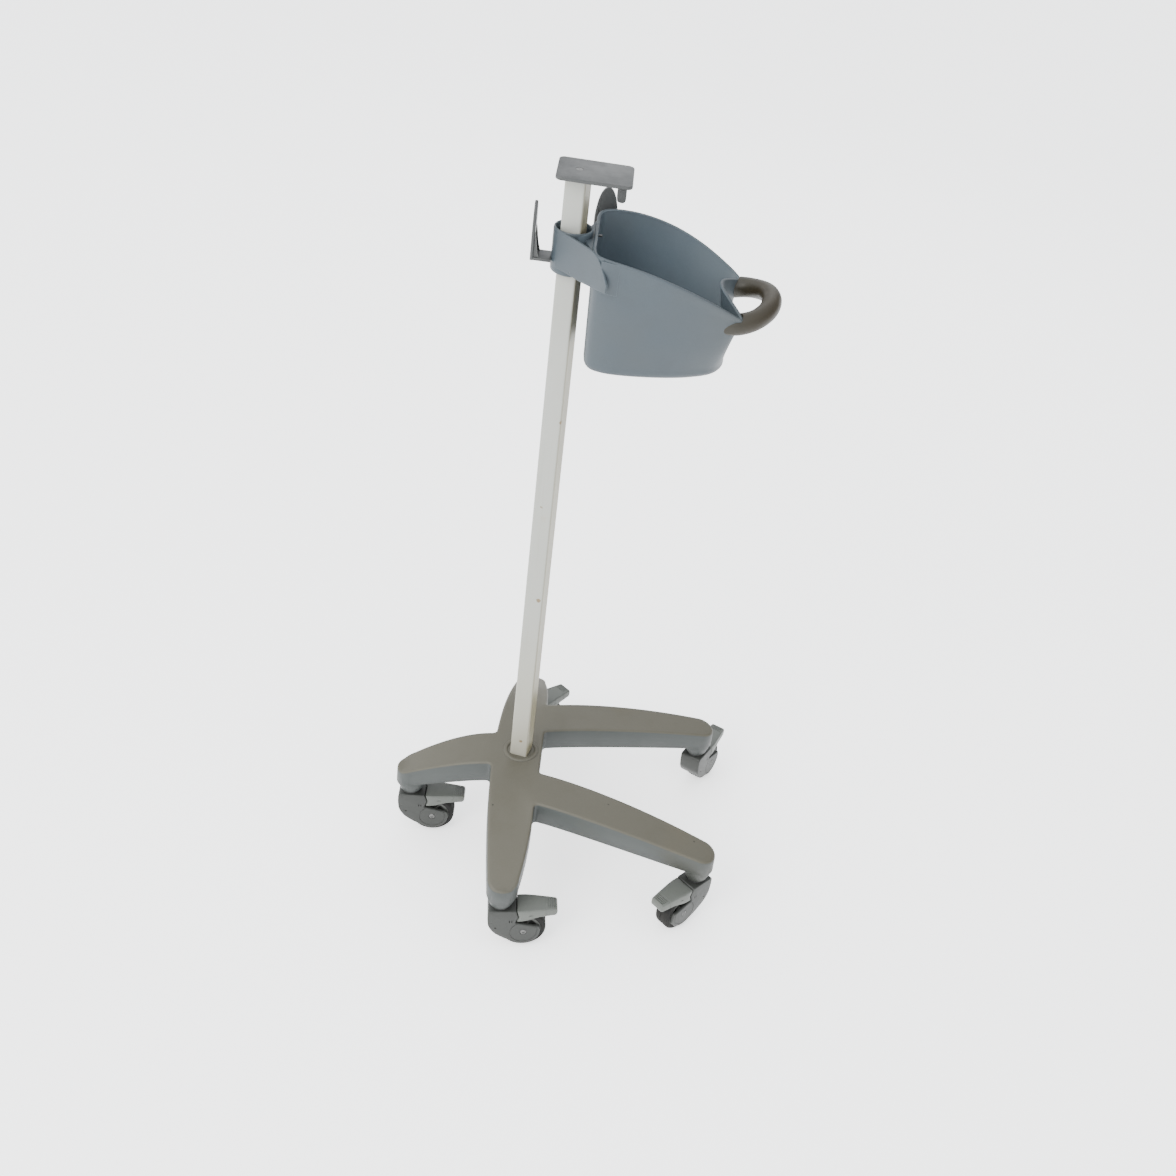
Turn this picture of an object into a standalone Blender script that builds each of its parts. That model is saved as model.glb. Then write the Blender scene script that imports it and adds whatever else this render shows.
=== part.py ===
"""Wheeled equipment stand: a five-legged base on braked casters, a square pole, a basket with a grab handle
on a swivelling collar, two cable hooks and a small device mount at the top of the pole. Metres, +Z up."""

import math

import bmesh
import bpy
from mathutils import Matrix, Vector

NAME = "equipment_stand"
GAP = 0.0003  # clearance between touching pieces

# Pole axis, measured from the middle of the stand's footprint (the origin)
POLE_AT = (-0.0850, -0.0238)

# Base, in plan, measured from the pole axis
LEGS = {  # name: (tip x, tip y, heading of the caster's trail in degrees)
    "left": (-0.181, 0.0, 2.0),
    "near": (0.0, -0.247, 6.0),
    "front_near": (0.320, -0.158, -136.0),
    "front_far": (0.320, 0.158, 60.0),
    "far": (0.0, 0.247, 45.0),
}
FORKS = [  # corners between one leg and the next, in the order of LEGS
    [(-0.0465, -0.040)],
    [(0.035, -0.126)],
    [(0.036, -0.052), (0.036, 0.052)],
    [(0.035, 0.126)],
    [(-0.0465, 0.040)],
]
LEG_TIP_HALF_WIDTH = 0.0255
LEG_BULGE = 0.006
FORK_ROUND = 0.012
HUB_TOP, HUB_UNDER = 0.193, 0.151
TIP_TOP, TIP_UNDER = 0.145, 0.111
BASE_WALL = 0.007
BASE_EDGE = 0.006
GRID = 0.044  # spacing of the cuts that let the base's skin curve
BOSS_RADIUS, BOSS_UNDER = 0.0185, 0.089
SOCKET_RADIUS, SOCKET_FLOOR = 0.036, 0.158

# Pole
POLE_SIDE, POLE_WALL, POLE_ROUND = 0.030, 0.0025, 0.003
POLE_YAW = math.radians(-15.6)
POLE_TOP = 1.236

# Caster, measured from its swivel axis; the wheel trails along local +X
TRAIL, WHEEL_RADIUS, TYRE_HALF_WIDTH = 0.039, 0.0365, 0.0140
RIM_RADIUS = 0.028
HOUSING_HALF_WIDTH, HOUSING_TOP = 0.0200, 0.084
SLOT_RADIUS, SLOT_HALF_WIDTH = 0.0385, 0.0156
AXLE_RADIUS, STEM_RADIUS = 0.004, 0.006
HOUSING_DISC = 0.0268
PEDAL_TIP = 0.092
PEDAL_WAIST, PEDAL_TIP_HALF_WIDTH = 0.040, 0.0135
SEAM = [(0.0245, HOUSING_TOP), (0.0285, 0.070), (0.0245, 0.0565)]

# Basket
BASKET_FLOOR, BASKET_WALL = 0.980, 0.003
RIM_BACK, RIM_DROP, RIM_BACK_X, RIM_FRONT_X = 1.163, 0.068, 0.041, 0.244
RIM_HALF = [(0.031, 0), (0.031, 0.030), (0.031, 0.060), (0.035, 0.080), (0.047, 0.092), (0.070, 0.100),
            (0.103, 0.105), (0.144, 0.106), (0.185, 0.100), (0.222, 0.088), (0.240, 0.080), (0.247, 0.071),
            (0.243, 0.058), (0.230, 0.036), (0.220, 0.016), (0.217, 0)]
FLOOR_HALF = [(0.033, 0), (0.033, 0.026), (0.033, 0.050), (0.036, 0.067), (0.046, 0.077), (0.068, 0.083),
              (0.100, 0.082), (0.138, 0.076), (0.172, 0.067), (0.198, 0.056), (0.215, 0.046), (0.225, 0.036),
              (0.231, 0.026), (0.234, 0.017), (0.235, 0.008), (0.235, 0)]
FLOOR_ROUND = 0.014
HANDLE_RADIUS = 0.0145
HANDLE_ROUTE = [(0.226, 0.062, 1.079), (0.245, 0.064, 1.081), (0.263, 0.057, 1.085), (0.277, 0.043, 1.090),
                (0.2875, 0.0225, 1.094), (0.291, 0.0, 1.096)]

# Collar that carries the basket
COLLAR_BORE, COLLAR_OUT = 0.0240, 0.0276
COLLAR_UNDER, COLLAR_TOP = 1.100, 1.165
SADDLE_UNDER = 1.112
LINER_UNDER, LINER_TOP = 1.104, 1.150
SADDLE_THICK = 0.005
CHEEK_UNDER, CHEEK_TOP, CHEEK_THICK = 1.112, 1.161, 0.0032
CHEEK_ROUTE = [(-0.0200, -0.0170), (-0.0020, -0.0395), (0.0180, -0.0640), (0.0360, -0.0865),
               (0.0500, -0.1035)]

# Hooks
HOOK_THICK, HOOK_WIDTH = 0.005, 0.034

# Device mount at the top of the pole
PLATE_UNDER, PLATE_THICK, PLATE_SIZE = 1.2445, 0.005, (0.104, 0.084)
PLATE_AT = 0.022
LEVER_X, LEVER_PIN_Z = 0.0605, 1.2375
SCREW_HEAD_DEPTH = 0.0026

parts_collection = None
cutters_collection = None


def start():
    global parts_collection, cutters_collection
    for obj in list(bpy.data.objects):
        bpy.data.objects.remove(obj, do_unlink=True)
    parts_collection = bpy.data.collections.new(NAME)
    cutters_collection = bpy.data.collections.new("cutters")
    for collection in (parts_collection, cutters_collection):
        bpy.context.scene.collection.children.link(collection)


def at(x, y, z):
    """A point measured from the pole axis and the floor."""
    return Vector((x + POLE_AT[0], y + POLE_AT[1], z))


def material(name, colour, roughness, metallic=0.0):
    made = bpy.data.materials.get(name)
    if made is None:
        made = bpy.data.materials.new(name)
        made.use_nodes = True
        shader = made.node_tree.nodes["Principled BSDF"]
        shader.inputs["Base Color"].default_value = (*colour, 1.0)
        shader.inputs["Roughness"].default_value = roughness
        shader.inputs["Metallic"].default_value = metallic
    return made


COLOURS = {  # kind: (colour, roughness, metallic)
    "base_plastic": ((0.205, 0.198, 0.165), 0.55, 0.0),
    "pole_paint": ((0.56, 0.56, 0.52), 0.35, 0.0),
    "caster_plastic": ((0.155, 0.160, 0.142), 0.5, 0.0),
    "tyre_rubber": ((0.012, 0.012, 0.012), 0.7, 0.0),
    "rim_plastic": ((0.10, 0.10, 0.09), 0.5, 0.0),
    "steel": ((0.55, 0.55, 0.55), 0.3, 1.0),
    "basket_plastic": ((0.19, 0.22, 0.245), 0.5, 0.0),
    "handle_plastic": ((0.18, 0.155, 0.105), 0.5, 0.0),
    "liner_plastic": ((0.06, 0.06, 0.06), 0.6, 0.0),
    "mount_metal": ((0.16, 0.17, 0.17), 0.4, 0.6),
}


def add(name, mesh, kind, matrix=None, cutter=False, smooth=40.0):
    """Links a mesh as a named piece, or as a cutter."""
    obj = bpy.data.objects.new(name, mesh)
    obj.matrix_world = matrix if matrix is not None else Matrix.Translation(at(0, 0, 0))
    if cutter:
        obj.hide_render = True
        obj.display_type = "WIRE"
        cutters_collection.objects.link(obj)
        return obj
    parts_collection.objects.link(obj)
    colour, roughness, metallic = COLOURS[kind]
    mesh.materials.clear()
    mesh.materials.append(material(kind + "_" + name, colour, roughness, metallic))
    mesh.shade_smooth()
    mesh.set_sharp_from_angle(angle=math.radians(smooth))
    return obj


def mesh_from(bm, name):
    bmesh.ops.recalc_face_normals(bm, faces=bm.faces)
    mesh = bpy.data.meshes.new(name)
    bm.to_mesh(mesh)
    bm.free()
    return mesh


def box_mesh(name, low, high):
    bm = bmesh.new()
    bmesh.ops.create_cube(bm, size=1.0)
    low, high = Vector(low), Vector(high)
    for v in bm.verts:
        v.co = Vector((low[i] + (v.co[i] + 0.5) * (high[i] - low[i]) for i in range(3)))
    return mesh_from(bm, name)


def rod_mesh(name, radius, low, high, sides=20, axis="Z", centre=(0, 0)):
    """A cylinder from low to high along Z, or along Y with centre given as (x, z)."""
    bm = bmesh.new()
    bmesh.ops.create_cone(bm, cap_ends=True, segments=sides, radius1=radius, radius2=radius, depth=high - low)
    middle = (low + high) / 2
    if axis == "Z":
        bmesh.ops.translate(bm, verts=bm.verts, vec=(centre[0], centre[1], middle))
    else:
        bmesh.ops.rotate(bm, verts=bm.verts, matrix=Matrix.Rotation(math.pi / 2, 3, "X"))
        bmesh.ops.translate(bm, verts=bm.verts, vec=(centre[0], middle, centre[1]))
    return mesh_from(bm, name)


def prism_mesh(name, outline, low, high, axis="Z"):
    """An outline of (a, b) points pushed from low to high; along Z it lies in XY, along Y in XZ."""
    bm = bmesh.new()
    place = (lambda a, b, h: (a, b, h)) if axis == "Z" else (lambda a, b, h: (a, h, b))
    rings = [[bm.verts.new(place(a, b, h)) for a, b in outline] for h in (low, high)]
    count = len(outline)
    bm.faces.new(rings[0][::-1])
    bm.faces.new(rings[1])
    for i in range(count):
        j = (i + 1) % count
        bm.faces.new((rings[0][i], rings[0][j], rings[1][j], rings[1][i]))
    return mesh_from(bm, name)


def turned_mesh(name, profile, sides):
    """A closed profile of (radius, z) points turned about Z."""
    bm = bmesh.new()
    rings = []
    for s in range(sides):
        angle = math.tau * s / sides
        rings.append([bm.verts.new((r * math.cos(angle), r * math.sin(angle), z)) for r, z in profile])
    count = len(profile)
    for s in range(sides):
        here, there = rings[s], rings[(s + 1) % sides]
        for i in range(count):
            j = (i + 1) % count
            bm.faces.new((here[i], there[i], there[j], here[j]))
    return mesh_from(bm, name)


def bevel(obj, width, segments=2, angle=35.0):
    mod = obj.modifiers.new("bevel", "BEVEL")
    mod.width = width
    mod.segments = segments
    mod.limit_method = "ANGLE"
    mod.angle_limit = math.radians(angle)
    mod.harden_normals = False
    return obj


def boolean(obj, other, operation):
    mod = obj.modifiers.new(operation.lower(), "BOOLEAN")
    mod.operation = operation
    mod.solver = "EXACT"
    mod.object = other
    return obj


def cut(obj, *cutters):
    for cutter in cutters:
        boolean(obj, cutter, "DIFFERENCE")
    return obj


def join(obj, *others):
    for other in others:
        boolean(obj, other, "UNION")
    return obj


# ---------------------------------------------------------------- curves in plan


def quadratic(p, q, r, steps):
    """Points of a quadratic curve from p to r, r left out."""
    out = []
    for i in range(steps):
        t = i / steps
        out.append(p * (1 - t) ** 2 + q * 2 * t * (1 - t) + r * t * t)
    return out


def smooth_through(points, per_span):
    """A Catmull-Rom curve through the points."""
    pts = [Vector(p) for p in points]
    pts = [pts[0] * 2 - pts[1]] + pts + [pts[-1] * 2 - pts[-2]]
    out = []
    for i in range(1, len(pts) - 2):
        a, b, c, d = pts[i - 1:i + 3]
        for k in range(per_span):
            t = k / per_span
            out.append(0.5 * ((2 * b) + (c - a) * t + (2 * a - 5 * b + 4 * c - d) * t * t
                              + (3 * b - a - 3 * c + d) * t ** 3))
    out.append(pts[-2])
    return out


def inset(points, distance):
    """A closed outline moved inwards by distance; the outline runs counterclockwise."""
    out = []
    count = len(points)
    for i in range(count):
        before, here, after = points[i - 1], points[i], points[(i + 1) % count]
        a, b = (here - before).normalized(), (after - here).normalized()
        na, nb = Vector((-a.y, a.x)), Vector((-b.y, b.x))
        mitre = (na + nb).normalized()
        out.append(here + mitre * distance / max(0.5, mitre.dot(na)))
    return out


# ---------------------------------------------------------------- base


def leg_roots():
    """For each leg: the corner before it, the corner after it and the middle between them."""
    roots = []
    for i in range(len(LEGS)):
        before, after = Vector(FORKS[i - 1][-1]), Vector(FORKS[i][0])
        roots.append((before, after, (before + after) / 2))
    return roots


def base_outline(shrink=0.0, shorten=0.0):
    """The base's outline in plan, counterclockwise, each leg with straight-ish sides and a round nose."""
    outline = []
    for i, (before, after, root) in enumerate(leg_roots()):
        x, y, _ = list(LEGS.values())[i]
        tip = Vector((x, y))
        along = (tip - root).normalized()
        side = Vector((along.y, -along.x))
        tip = tip - along * shorten
        half = LEG_TIP_HALF_WIDTH
        first, last = tip + side * half, tip - side * half
        near_first = before + (first - before).normalized() * FORK_ROUND
        near_last = after + (last - after).normalized() * FORK_ROUND
        outline += quadratic(near_first, (near_first + first) / 2 + side * LEG_BULGE, first, 4)
        for k in range(9):
            turn = -math.pi / 2 + math.pi * k / 8
            outline.append(tip + along * math.cos(turn) * half - side * math.sin(turn) * half)
        outline += quadratic(last, (near_last + last) / 2 - side * LEG_BULGE, near_last, 4)[1:]
        outline += fork_points(i, near_last)
    return inset(outline, shrink) if shrink else outline


def fork_points(i, start):
    """The rounded corner or corners between leg i and the next."""
    corners = [Vector(c) for c in FORKS[i]]
    x, y, _ = list(LEGS.values())[(i + 1) % len(LEGS)]
    _, _, root = leg_roots()[(i + 1) % len(LEGS)]
    along = (Vector((x, y)) - root).normalized()
    first = Vector((x, y)) + Vector((along.y, -along.x)) * LEG_TIP_HALF_WIDTH
    out = []
    for k, corner in enumerate(corners):
        onward = corners[k + 1] if k + 1 < len(corners) else first
        end = corner + (onward - corner).normalized() * FORK_ROUND
        out += quadratic(start, corner, end, 3)
        if k + 1 < len(corners):
            out.append(end)
            start = onward + (corner - onward).normalized() * FORK_ROUND
    return out


def leg_fall(x, y):
    """How far along its leg a point lies, from 0 on the hub to 1 at the caster, smooth between legs."""
    here = Vector((x, y))
    total, weights = 0.0, 0.0
    for (_, _, root), (tx, ty, _) in zip(leg_roots(), LEGS.values()):
        axis = Vector((tx, ty)) - root
        s = (here - root).dot(axis) / axis.length_squared
        away = (here - (root + axis * min(1.0, max(0.0, s)))).length
        weight = 1.0 / (away ** 2 + 1e-5) ** 2
        total += weight * max(0.0, min(1.12, s))
        weights += weight
    flat = min(1.0, max(0.0, (here.length - SOCKET_RADIUS) / 0.03))
    return total / weights * flat


def base_height(x, y, top):
    s = leg_fall(x, y)
    if top:
        return HUB_TOP - (HUB_TOP - TIP_TOP) * s ** 1.6
    return HUB_UNDER - (HUB_UNDER - TIP_UNDER) * s ** 1.4


def base_solid(name, outline, edge, roof=0.0, below=0.0):
    """The skin of the base: an outline with rounded top edges, cut in a grid and draped on the leg curve."""
    top, under = 1.0, 0.0
    layers = [(0.0, under)] + ([(0.0, top - edge), (0.3 * edge, top - 0.3 * edge), (edge, top)] if edge else
                               [(0.0, top)])
    bm = bmesh.new()
    rings = [[bm.verts.new((p.x, p.y, z)) for p in (inset(outline, d) if d else outline)] for d, z in layers]
    count = len(outline)
    bm.faces.new(rings[0][::-1])
    bm.faces.new(rings[-1])
    for low, high in zip(rings, rings[1:]):
        for i in range(count):
            j = (i + 1) % count
            bm.faces.new((low[i], low[j], high[j], high[i]))
    for axis, low, high in ((0, -0.22, 0.36), (1, -0.28, 0.28)):
        for k in range(int((high - low) / GRID) + 1):
            normal = Vector((1, 0, 0)) if axis == 0 else Vector((0, 1, 0))
            geometry = bm.verts[:] + bm.edges[:] + bm.faces[:]
            bmesh.ops.bisect_plane(bm, geom=geometry, plane_co=normal * (low + k * GRID + 0.0007),
                                   plane_no=normal, dist=1e-5)
    bmesh.ops.triangulate(bm, faces=bm.faces)
    for v in bm.verts:
        if v.co.z > 0.5:
            v.co.z = base_height(v.co.x, v.co.y, True) - (top - v.co.z) - roof
        else:
            v.co.z = base_height(v.co.x, v.co.y, False) - below
    return mesh_from(bm, name)


def square_mesh(name, side, rounding, low, high):
    """A square bar turned to the pole's yaw, with rounded corners."""
    half = side / 2
    outline = []
    for quarter in range(4):
        corner = Vector((half - rounding, half - rounding))
        corner.rotate(Matrix.Rotation(quarter * math.pi / 2, 2))
        for k in range(4):
            turn = quarter * math.pi / 2 + k * math.pi / 6
            outline.append(corner + Vector((math.cos(turn), math.sin(turn))) * rounding)
    spin = Matrix.Rotation(POLE_YAW, 2)
    return prism_mesh(name, [tuple(spin @ p) for p in outline], low, high)


def make_base():
    shell = add("base_shell", base_solid("base_shell", base_outline(), BASE_EDGE), "base_plastic")
    hollow = base_solid("base_hollow", base_outline(BASE_WALL, 0.052), 0.0, BASE_WALL, 0.03)
    inner = add("base_hollow", hollow, None, cutter=True)
    cut(inner, add("socket_keep", rod_mesh("socket_keep", SOCKET_RADIUS - 0.004, 0.05, 0.30, 28), None,
                   cutter=True))
    cut(shell, inner)
    for name, (x, y, _) in LEGS.items():
        boss = rod_mesh("boss", BOSS_RADIUS, BOSS_UNDER, TIP_TOP - 0.014, 24, centre=(x, y))
        join(shell, add("boss_" + name, boss, None, cutter=True))
        bore = rod_mesh("bore", STEM_RADIUS + GAP, BOSS_UNDER - 0.01, 0.1235, 16, centre=(x, y))
        cut(shell, add("bore_" + name, bore, None, cutter=True))
    pocket = square_mesh("pocket", POLE_SIDE + 2 * GAP, POLE_ROUND, SOCKET_FLOOR, 0.25)
    bolt_way = rod_mesh("bolt_way", 0.0043, 0.10, 0.20, 16)
    cut(shell, add("pocket", pocket, None, cutter=True), add("bolt_way", bolt_way, None, cutter=True))
    low = HUB_TOP + GAP
    ridge = [(0.0225, low), (0.0300, low), (0.0285, low + 0.0032), (0.0240, low + 0.0032)]
    add("pole_foot_ring", turned_mesh("pole_foot_ring", ridge, 28), "base_plastic")
    add("base_bolt", bolt_mesh("base_bolt", 0.004, 0.0085, 0.144, HUB_UNDER - GAP, 0.184), "steel")


def bolt_mesh(name, radius, head, head_low, head_high, shank_top, sides=16):
    """A bolt that points up: its head from head_low to head_high, its shank to shank_top."""
    profile = [(0.0, head_low), (head, head_low), (head, head_high), (radius, head_high), (radius, shank_top),
               (0.0, shank_top)]
    bm = bmesh.new()
    bottom, top = bm.verts.new((0, 0, head_low)), bm.verts.new((0, 0, shank_top))
    rings = []
    for s in range(sides):
        angle = math.tau * s / sides
        rings.append([bm.verts.new((r * math.cos(angle), r * math.sin(angle), z)) for r, z in profile[1:-1]])
    for s in range(sides):
        here, there = rings[s], rings[(s + 1) % sides]
        bm.faces.new((bottom, there[0], here[0]))
        bm.faces.new((top, here[-1], there[-1]))
        for i in range(len(here) - 1):
            bm.faces.new((here[i], there[i], there[i + 1], here[i + 1]))
    return mesh_from(bm, name)


def make_pole():
    low = SOCKET_FLOOR + GAP
    pole = add("pole", square_mesh("pole", POLE_SIDE, POLE_ROUND, low, POLE_TOP), "pole_paint")
    inside = square_mesh("pole_inside", POLE_SIDE - 2 * POLE_WALL, POLE_ROUND - 0.0015, low - 0.01,
                         POLE_TOP + 0.01)
    cut(pole, add("pole_inside", inside, None, cutter=True))
    block = POLE_SIDE - 2 * POLE_WALL - 2 * GAP
    plug = add("pole_foot_plug", square_mesh("pole_foot_plug", block, 0.001, low + GAP, 0.190), "steel")
    cut(plug, add("plug_hole", rod_mesh("plug_hole", 0.0043, 0.15, 0.20, 16), None, cutter=True))


# ---------------------------------------------------------------- casters


def arc(centre, radius, start, end, steps):
    out = []
    for k in range(steps + 1):
        turn = math.radians(start + (end - start) * k / steps)
        out.append((centre[0] + radius * math.cos(turn), centre[1] + radius * math.sin(turn)))
    return out


def housing_outline():
    """The housing's side view: a teardrop from the swivel top down round the wheel's hub."""
    hub = (TRAIL, WHEEL_RADIUS)
    back = [(-0.0190, HOUSING_TOP), (-0.0205, 0.079), (-0.0200, 0.062), (-0.0175, 0.044), (-0.010, 0.030),
            (0.004, 0.019)]
    return back + arc(hub, HOUSING_DISC, 232, 396, 14) + [(0.0310, 0.0555)] + SEAM[::-1]


def pedal_outline():
    """The brake pedal's side view, from the seam out to the tip over the wheel."""
    play = 0.0008
    seam = [(x + play, z) for x, z in SEAM]
    seam[0] = (seam[0][0], HOUSING_TOP - 0.001)
    tip = [(0.050, 0.0625), (0.062, 0.0660), (PEDAL_TIP - 0.012, 0.0665), (PEDAL_TIP - 0.002, 0.0670),
           (PEDAL_TIP, 0.0695), (PEDAL_TIP - 0.001, 0.0800), (PEDAL_TIP - 0.006, 0.0825)]
    return [seam[0], seam[1], (0.0262, 0.0585), (0.034, 0.0595)] + tip + [(0.045, HOUSING_TOP - 0.001)]


def pedal_taper(side):
    """What is cut off one side of the pedal to narrow it towards its tip, seen from above."""
    half, wide = HOUSING_HALF_WIDTH, HOUSING_HALF_WIDTH + 0.01
    outline = [(PEDAL_WAIST, side * half), (PEDAL_TIP + 0.01, side * (PEDAL_TIP_HALF_WIDTH - 0.0016)),
               (PEDAL_TIP + 0.01, side * wide), (PEDAL_WAIST, side * wide)]
    return prism_mesh("pedal_taper", outline if side > 0 else outline[::-1], 0.0, 0.12)


def make_caster(name, x, y, heading):
    place = Matrix.Translation(at(x, y, 0)) @ Matrix.Rotation(math.radians(heading), 4, "Z")
    hub = (TRAIL, WHEEL_RADIUS)
    half = HOUSING_HALF_WIDTH

    def tool(label, mesh):
        return add(label + "_" + name, mesh, None, place, cutter=True)

    side = prism_mesh("housing", housing_outline(), -half, half, "Y")
    housing = add("housing_" + name, side, "caster_plastic", place)
    bevel(housing, 0.0026, 1, 50)
    slot = rod_mesh("slot", SLOT_RADIUS, -SLOT_HALF_WIDTH, SLOT_HALF_WIDTH, 24, "Y", hub)
    axle_way = rod_mesh("axle_way", AXLE_RADIUS + GAP, -0.03, 0.03, 12, "Y", hub)
    stem_way = rod_mesh("stem_way", STEM_RADIUS + GAP, 0.0745, 0.10, 12)
    cut(housing, tool("slot", slot), tool("axle_way", axle_way), tool("stem_way", stem_way))

    side = prism_mesh("pedal", pedal_outline(), -half, half, "Y")
    pedal = add("brake_pedal_" + name, side, "caster_plastic", place)
    cut(pedal, tool("pedal_taper_left", pedal_taper(1)), tool("pedal_taper_right", pedal_taper(-1)))
    bevel(pedal, 0.0022, 1, 50)
    pedal_slot = rod_mesh("pedal_slot", SLOT_RADIUS + 0.0035, -SLOT_HALF_WIDTH, SLOT_HALF_WIDTH, 24, "Y", hub)
    cut(pedal, tool("pedal_slot", pedal_slot))

    width = TYRE_HALF_WIDTH
    tyre = [(RIM_RADIUS, -width), (WHEEL_RADIUS - 0.003, -width), (WHEEL_RADIUS, -width + 0.004),
            (WHEEL_RADIUS, width - 0.004), (WHEEL_RADIUS - 0.003, width), (RIM_RADIUS, width)]
    rim = [(AXLE_RADIUS + GAP, -width), (RIM_RADIUS - GAP, -width), (RIM_RADIUS - GAP, width),
           (AXLE_RADIUS + GAP, width)]
    lay = place @ Matrix.Translation((TRAIL, 0, WHEEL_RADIUS)) @ Matrix.Rotation(math.pi / 2, 4, "X")
    add("tyre_" + name, turned_mesh("tyre", tyre, 24), "tyre_rubber", lay)
    add("wheel_" + name, turned_mesh("wheel", rim, 20), "rim_plastic", lay)
    axle = rod_mesh("axle", AXLE_RADIUS, -half - 0.0008, half + 0.0008, 12, "Y", hub)
    add("axle_" + name, axle, "steel", place)
    add("stem_" + name, rod_mesh("stem", STEM_RADIUS, 0.0755, 0.122, 14), "steel", place)
    bore, low, high = STEM_RADIUS + 2 * GAP, HOUSING_TOP + GAP, BOSS_UNDER - GAP
    race = [(bore, low), (0.0165, low), (0.0165, high), (bore, high)]
    add("swivel_race_" + name, turned_mesh("race", race, 16), "liner_plastic", place)


# ---------------------------------------------------------------- basket


def whole(half):
    """A smooth closed outline, counterclockwise, from the half with y at or above 0 running back to front."""
    side = smooth_through(half, 2)
    return [Vector((p.x, -p.y)) for p in side] + [Vector((p.x, p.y)) for p in side[-2:0:-1]]


def rim_height(x):
    along = max(0.0, (x - RIM_BACK_X) / (RIM_FRONT_X - RIM_BACK_X))
    return RIM_BACK - RIM_DROP * along ** 2


def basket_rings(grow=0.0, lift=0.0, levels=6):
    """Rings of the basket's outer face from its floor to the rim, grown outwards, and carried up by lift."""
    rim, floor = whole(RIM_HALF), whole(FLOOR_HALF)
    rings = []
    for inward, up in ((FLOOR_ROUND, 0.0), (0.35 * FLOOR_ROUND, 0.18 * FLOOR_ROUND), (0.0, FLOOR_ROUND)):
        ring = inset(floor, inward - grow)
        rings.append([Vector((p.x, p.y, BASKET_FLOOR - grow + up)) for p in ring])
    rim_out = inset(rim, -grow)
    start = rings[-1]
    for k in range(1, levels + 1):
        s = k / levels
        ring = []
        for p, q in zip(start, rim_out):
            top = rim_height(q.x)
            ring.append(Vector((p.x + (q.x - p.x) * s, p.y + (q.y - p.y) * s, p.z + (top - p.z) * s)))
        rings.append(ring)
    if lift:
        rings.append([p + Vector((0, 0, lift)) for p in rings[-1]])
    return rings


def rings_mesh(name, rings, close_top):
    bm = bmesh.new()
    made = [[bm.verts.new(p) for p in ring] for ring in rings]
    count = len(made[0])
    for low, high in zip(made, made[1:]):
        for i in range(count):
            j = (i + 1) % count
            bm.faces.new((low[i], low[j], high[j], high[i]))
    bm.faces.new(made[0][::-1])
    if close_top:
        bm.faces.new(made[-1])
    bmesh.ops.triangulate(bm, faces=[f for f in bm.faces if len(f.verts) > 4])
    bmesh.ops.recalc_face_normals(bm, faces=bm.faces)
    mesh = bpy.data.meshes.new(name)
    bm.to_mesh(mesh)
    bm.free()
    return mesh


def outward(mesh):
    """Turns an open bowl's faces outwards, judged by its floor."""
    lowest = min(mesh.polygons, key=lambda f: f.center.z)
    if lowest.normal.z > 0:
        mesh.flip_normals()
    return mesh


def make_basket():
    shell = add("basket_shell", outward(rings_mesh("basket_shell", basket_rings(), False)), "basket_plastic",
                smooth=50)
    thick = shell.modifiers.new("wall", "SOLIDIFY")
    thick.thickness = BASKET_WALL
    thick.offset = -1.0
    thick.use_even_offset = True
    route = [Vector(p) for p in HANDLE_ROUTE]
    route = route + [Vector((p.x, -p.y, p.z)) for p in route[-2::-1]]
    handle = tube_object("basket_handle", smooth_through(route, 2), HANDLE_RADIUS, "handle_plastic")
    envelope = rings_mesh("basket_envelope", basket_rings(2 * GAP, 0.05), True)
    cut(handle, add("basket_envelope", envelope, None, cutter=True))


def tube_object(name, points, radius, kind, sides=14):
    """A round tube along points, made as a curve and turned into a welded mesh."""
    curve = bpy.data.curves.new(name, "CURVE")
    curve.dimensions = "3D"
    curve.bevel_depth = radius
    curve.bevel_resolution = sides // 2 - 2
    curve.use_fill_caps = True
    spline = curve.splines.new("POLY")
    spline.points.add(len(points) - 1)
    for point, p in zip(spline.points, points):
        point.co = (p.x, p.y, p.z, 1.0)
    guide = bpy.data.objects.new(name + "_curve", curve)
    bpy.context.scene.collection.objects.link(guide)
    evaluated = guide.evaluated_get(bpy.context.evaluated_depsgraph_get())
    mesh = bpy.data.meshes.new_from_object(evaluated)
    bm = bmesh.new()
    bm.from_mesh(mesh)
    bmesh.ops.remove_doubles(bm, verts=bm.verts, dist=1e-5)
    bmesh.ops.recalc_face_normals(bm, faces=bm.faces)
    bm.to_mesh(mesh)
    bm.free()
    bpy.data.objects.remove(guide, do_unlink=True)
    return add(name, mesh, kind)


def saddle_outline():
    """The collar's saddle in plan: a strip along the basket's back wall and round both back corners."""
    back = [p for p in whole(RIM_HALF) if p.x < 0.052]
    near = sorted([p for p in back if p.y <= 0], key=lambda p: -p.y)
    strip = [Vector((p.x, -p.y)) for p in near[:0:-1]] + near
    path = strip[::-1]
    inner = inset_open(path, 0.0008)
    outer = inset_open(path, 0.0008 + SADDLE_THICK)
    return [tuple(p) for p in inner] + [tuple(p) for p in outer[::-1]]


def inset_open(points, distance):
    """An open path moved to its left by distance."""
    out = []
    for i, here in enumerate(points):
        before, after = points[max(0, i - 1)], points[min(len(points) - 1, i + 1)]
        along = (after - before).normalized()
        out.append(here + Vector((-along.y, along.x)) * distance)
    return out


def cheek_mesh():
    """A flared cheek from the collar's ring to the basket's near back corner."""
    path = [Vector(p) for p in CHEEK_ROUTE]
    inner = inset_open(path, CHEEK_THICK)
    return prism_mesh("cheek", [tuple(p) for p in path] + [tuple(p) for p in inner[::-1]], CHEEK_UNDER,
                      CHEEK_TOP)


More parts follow.
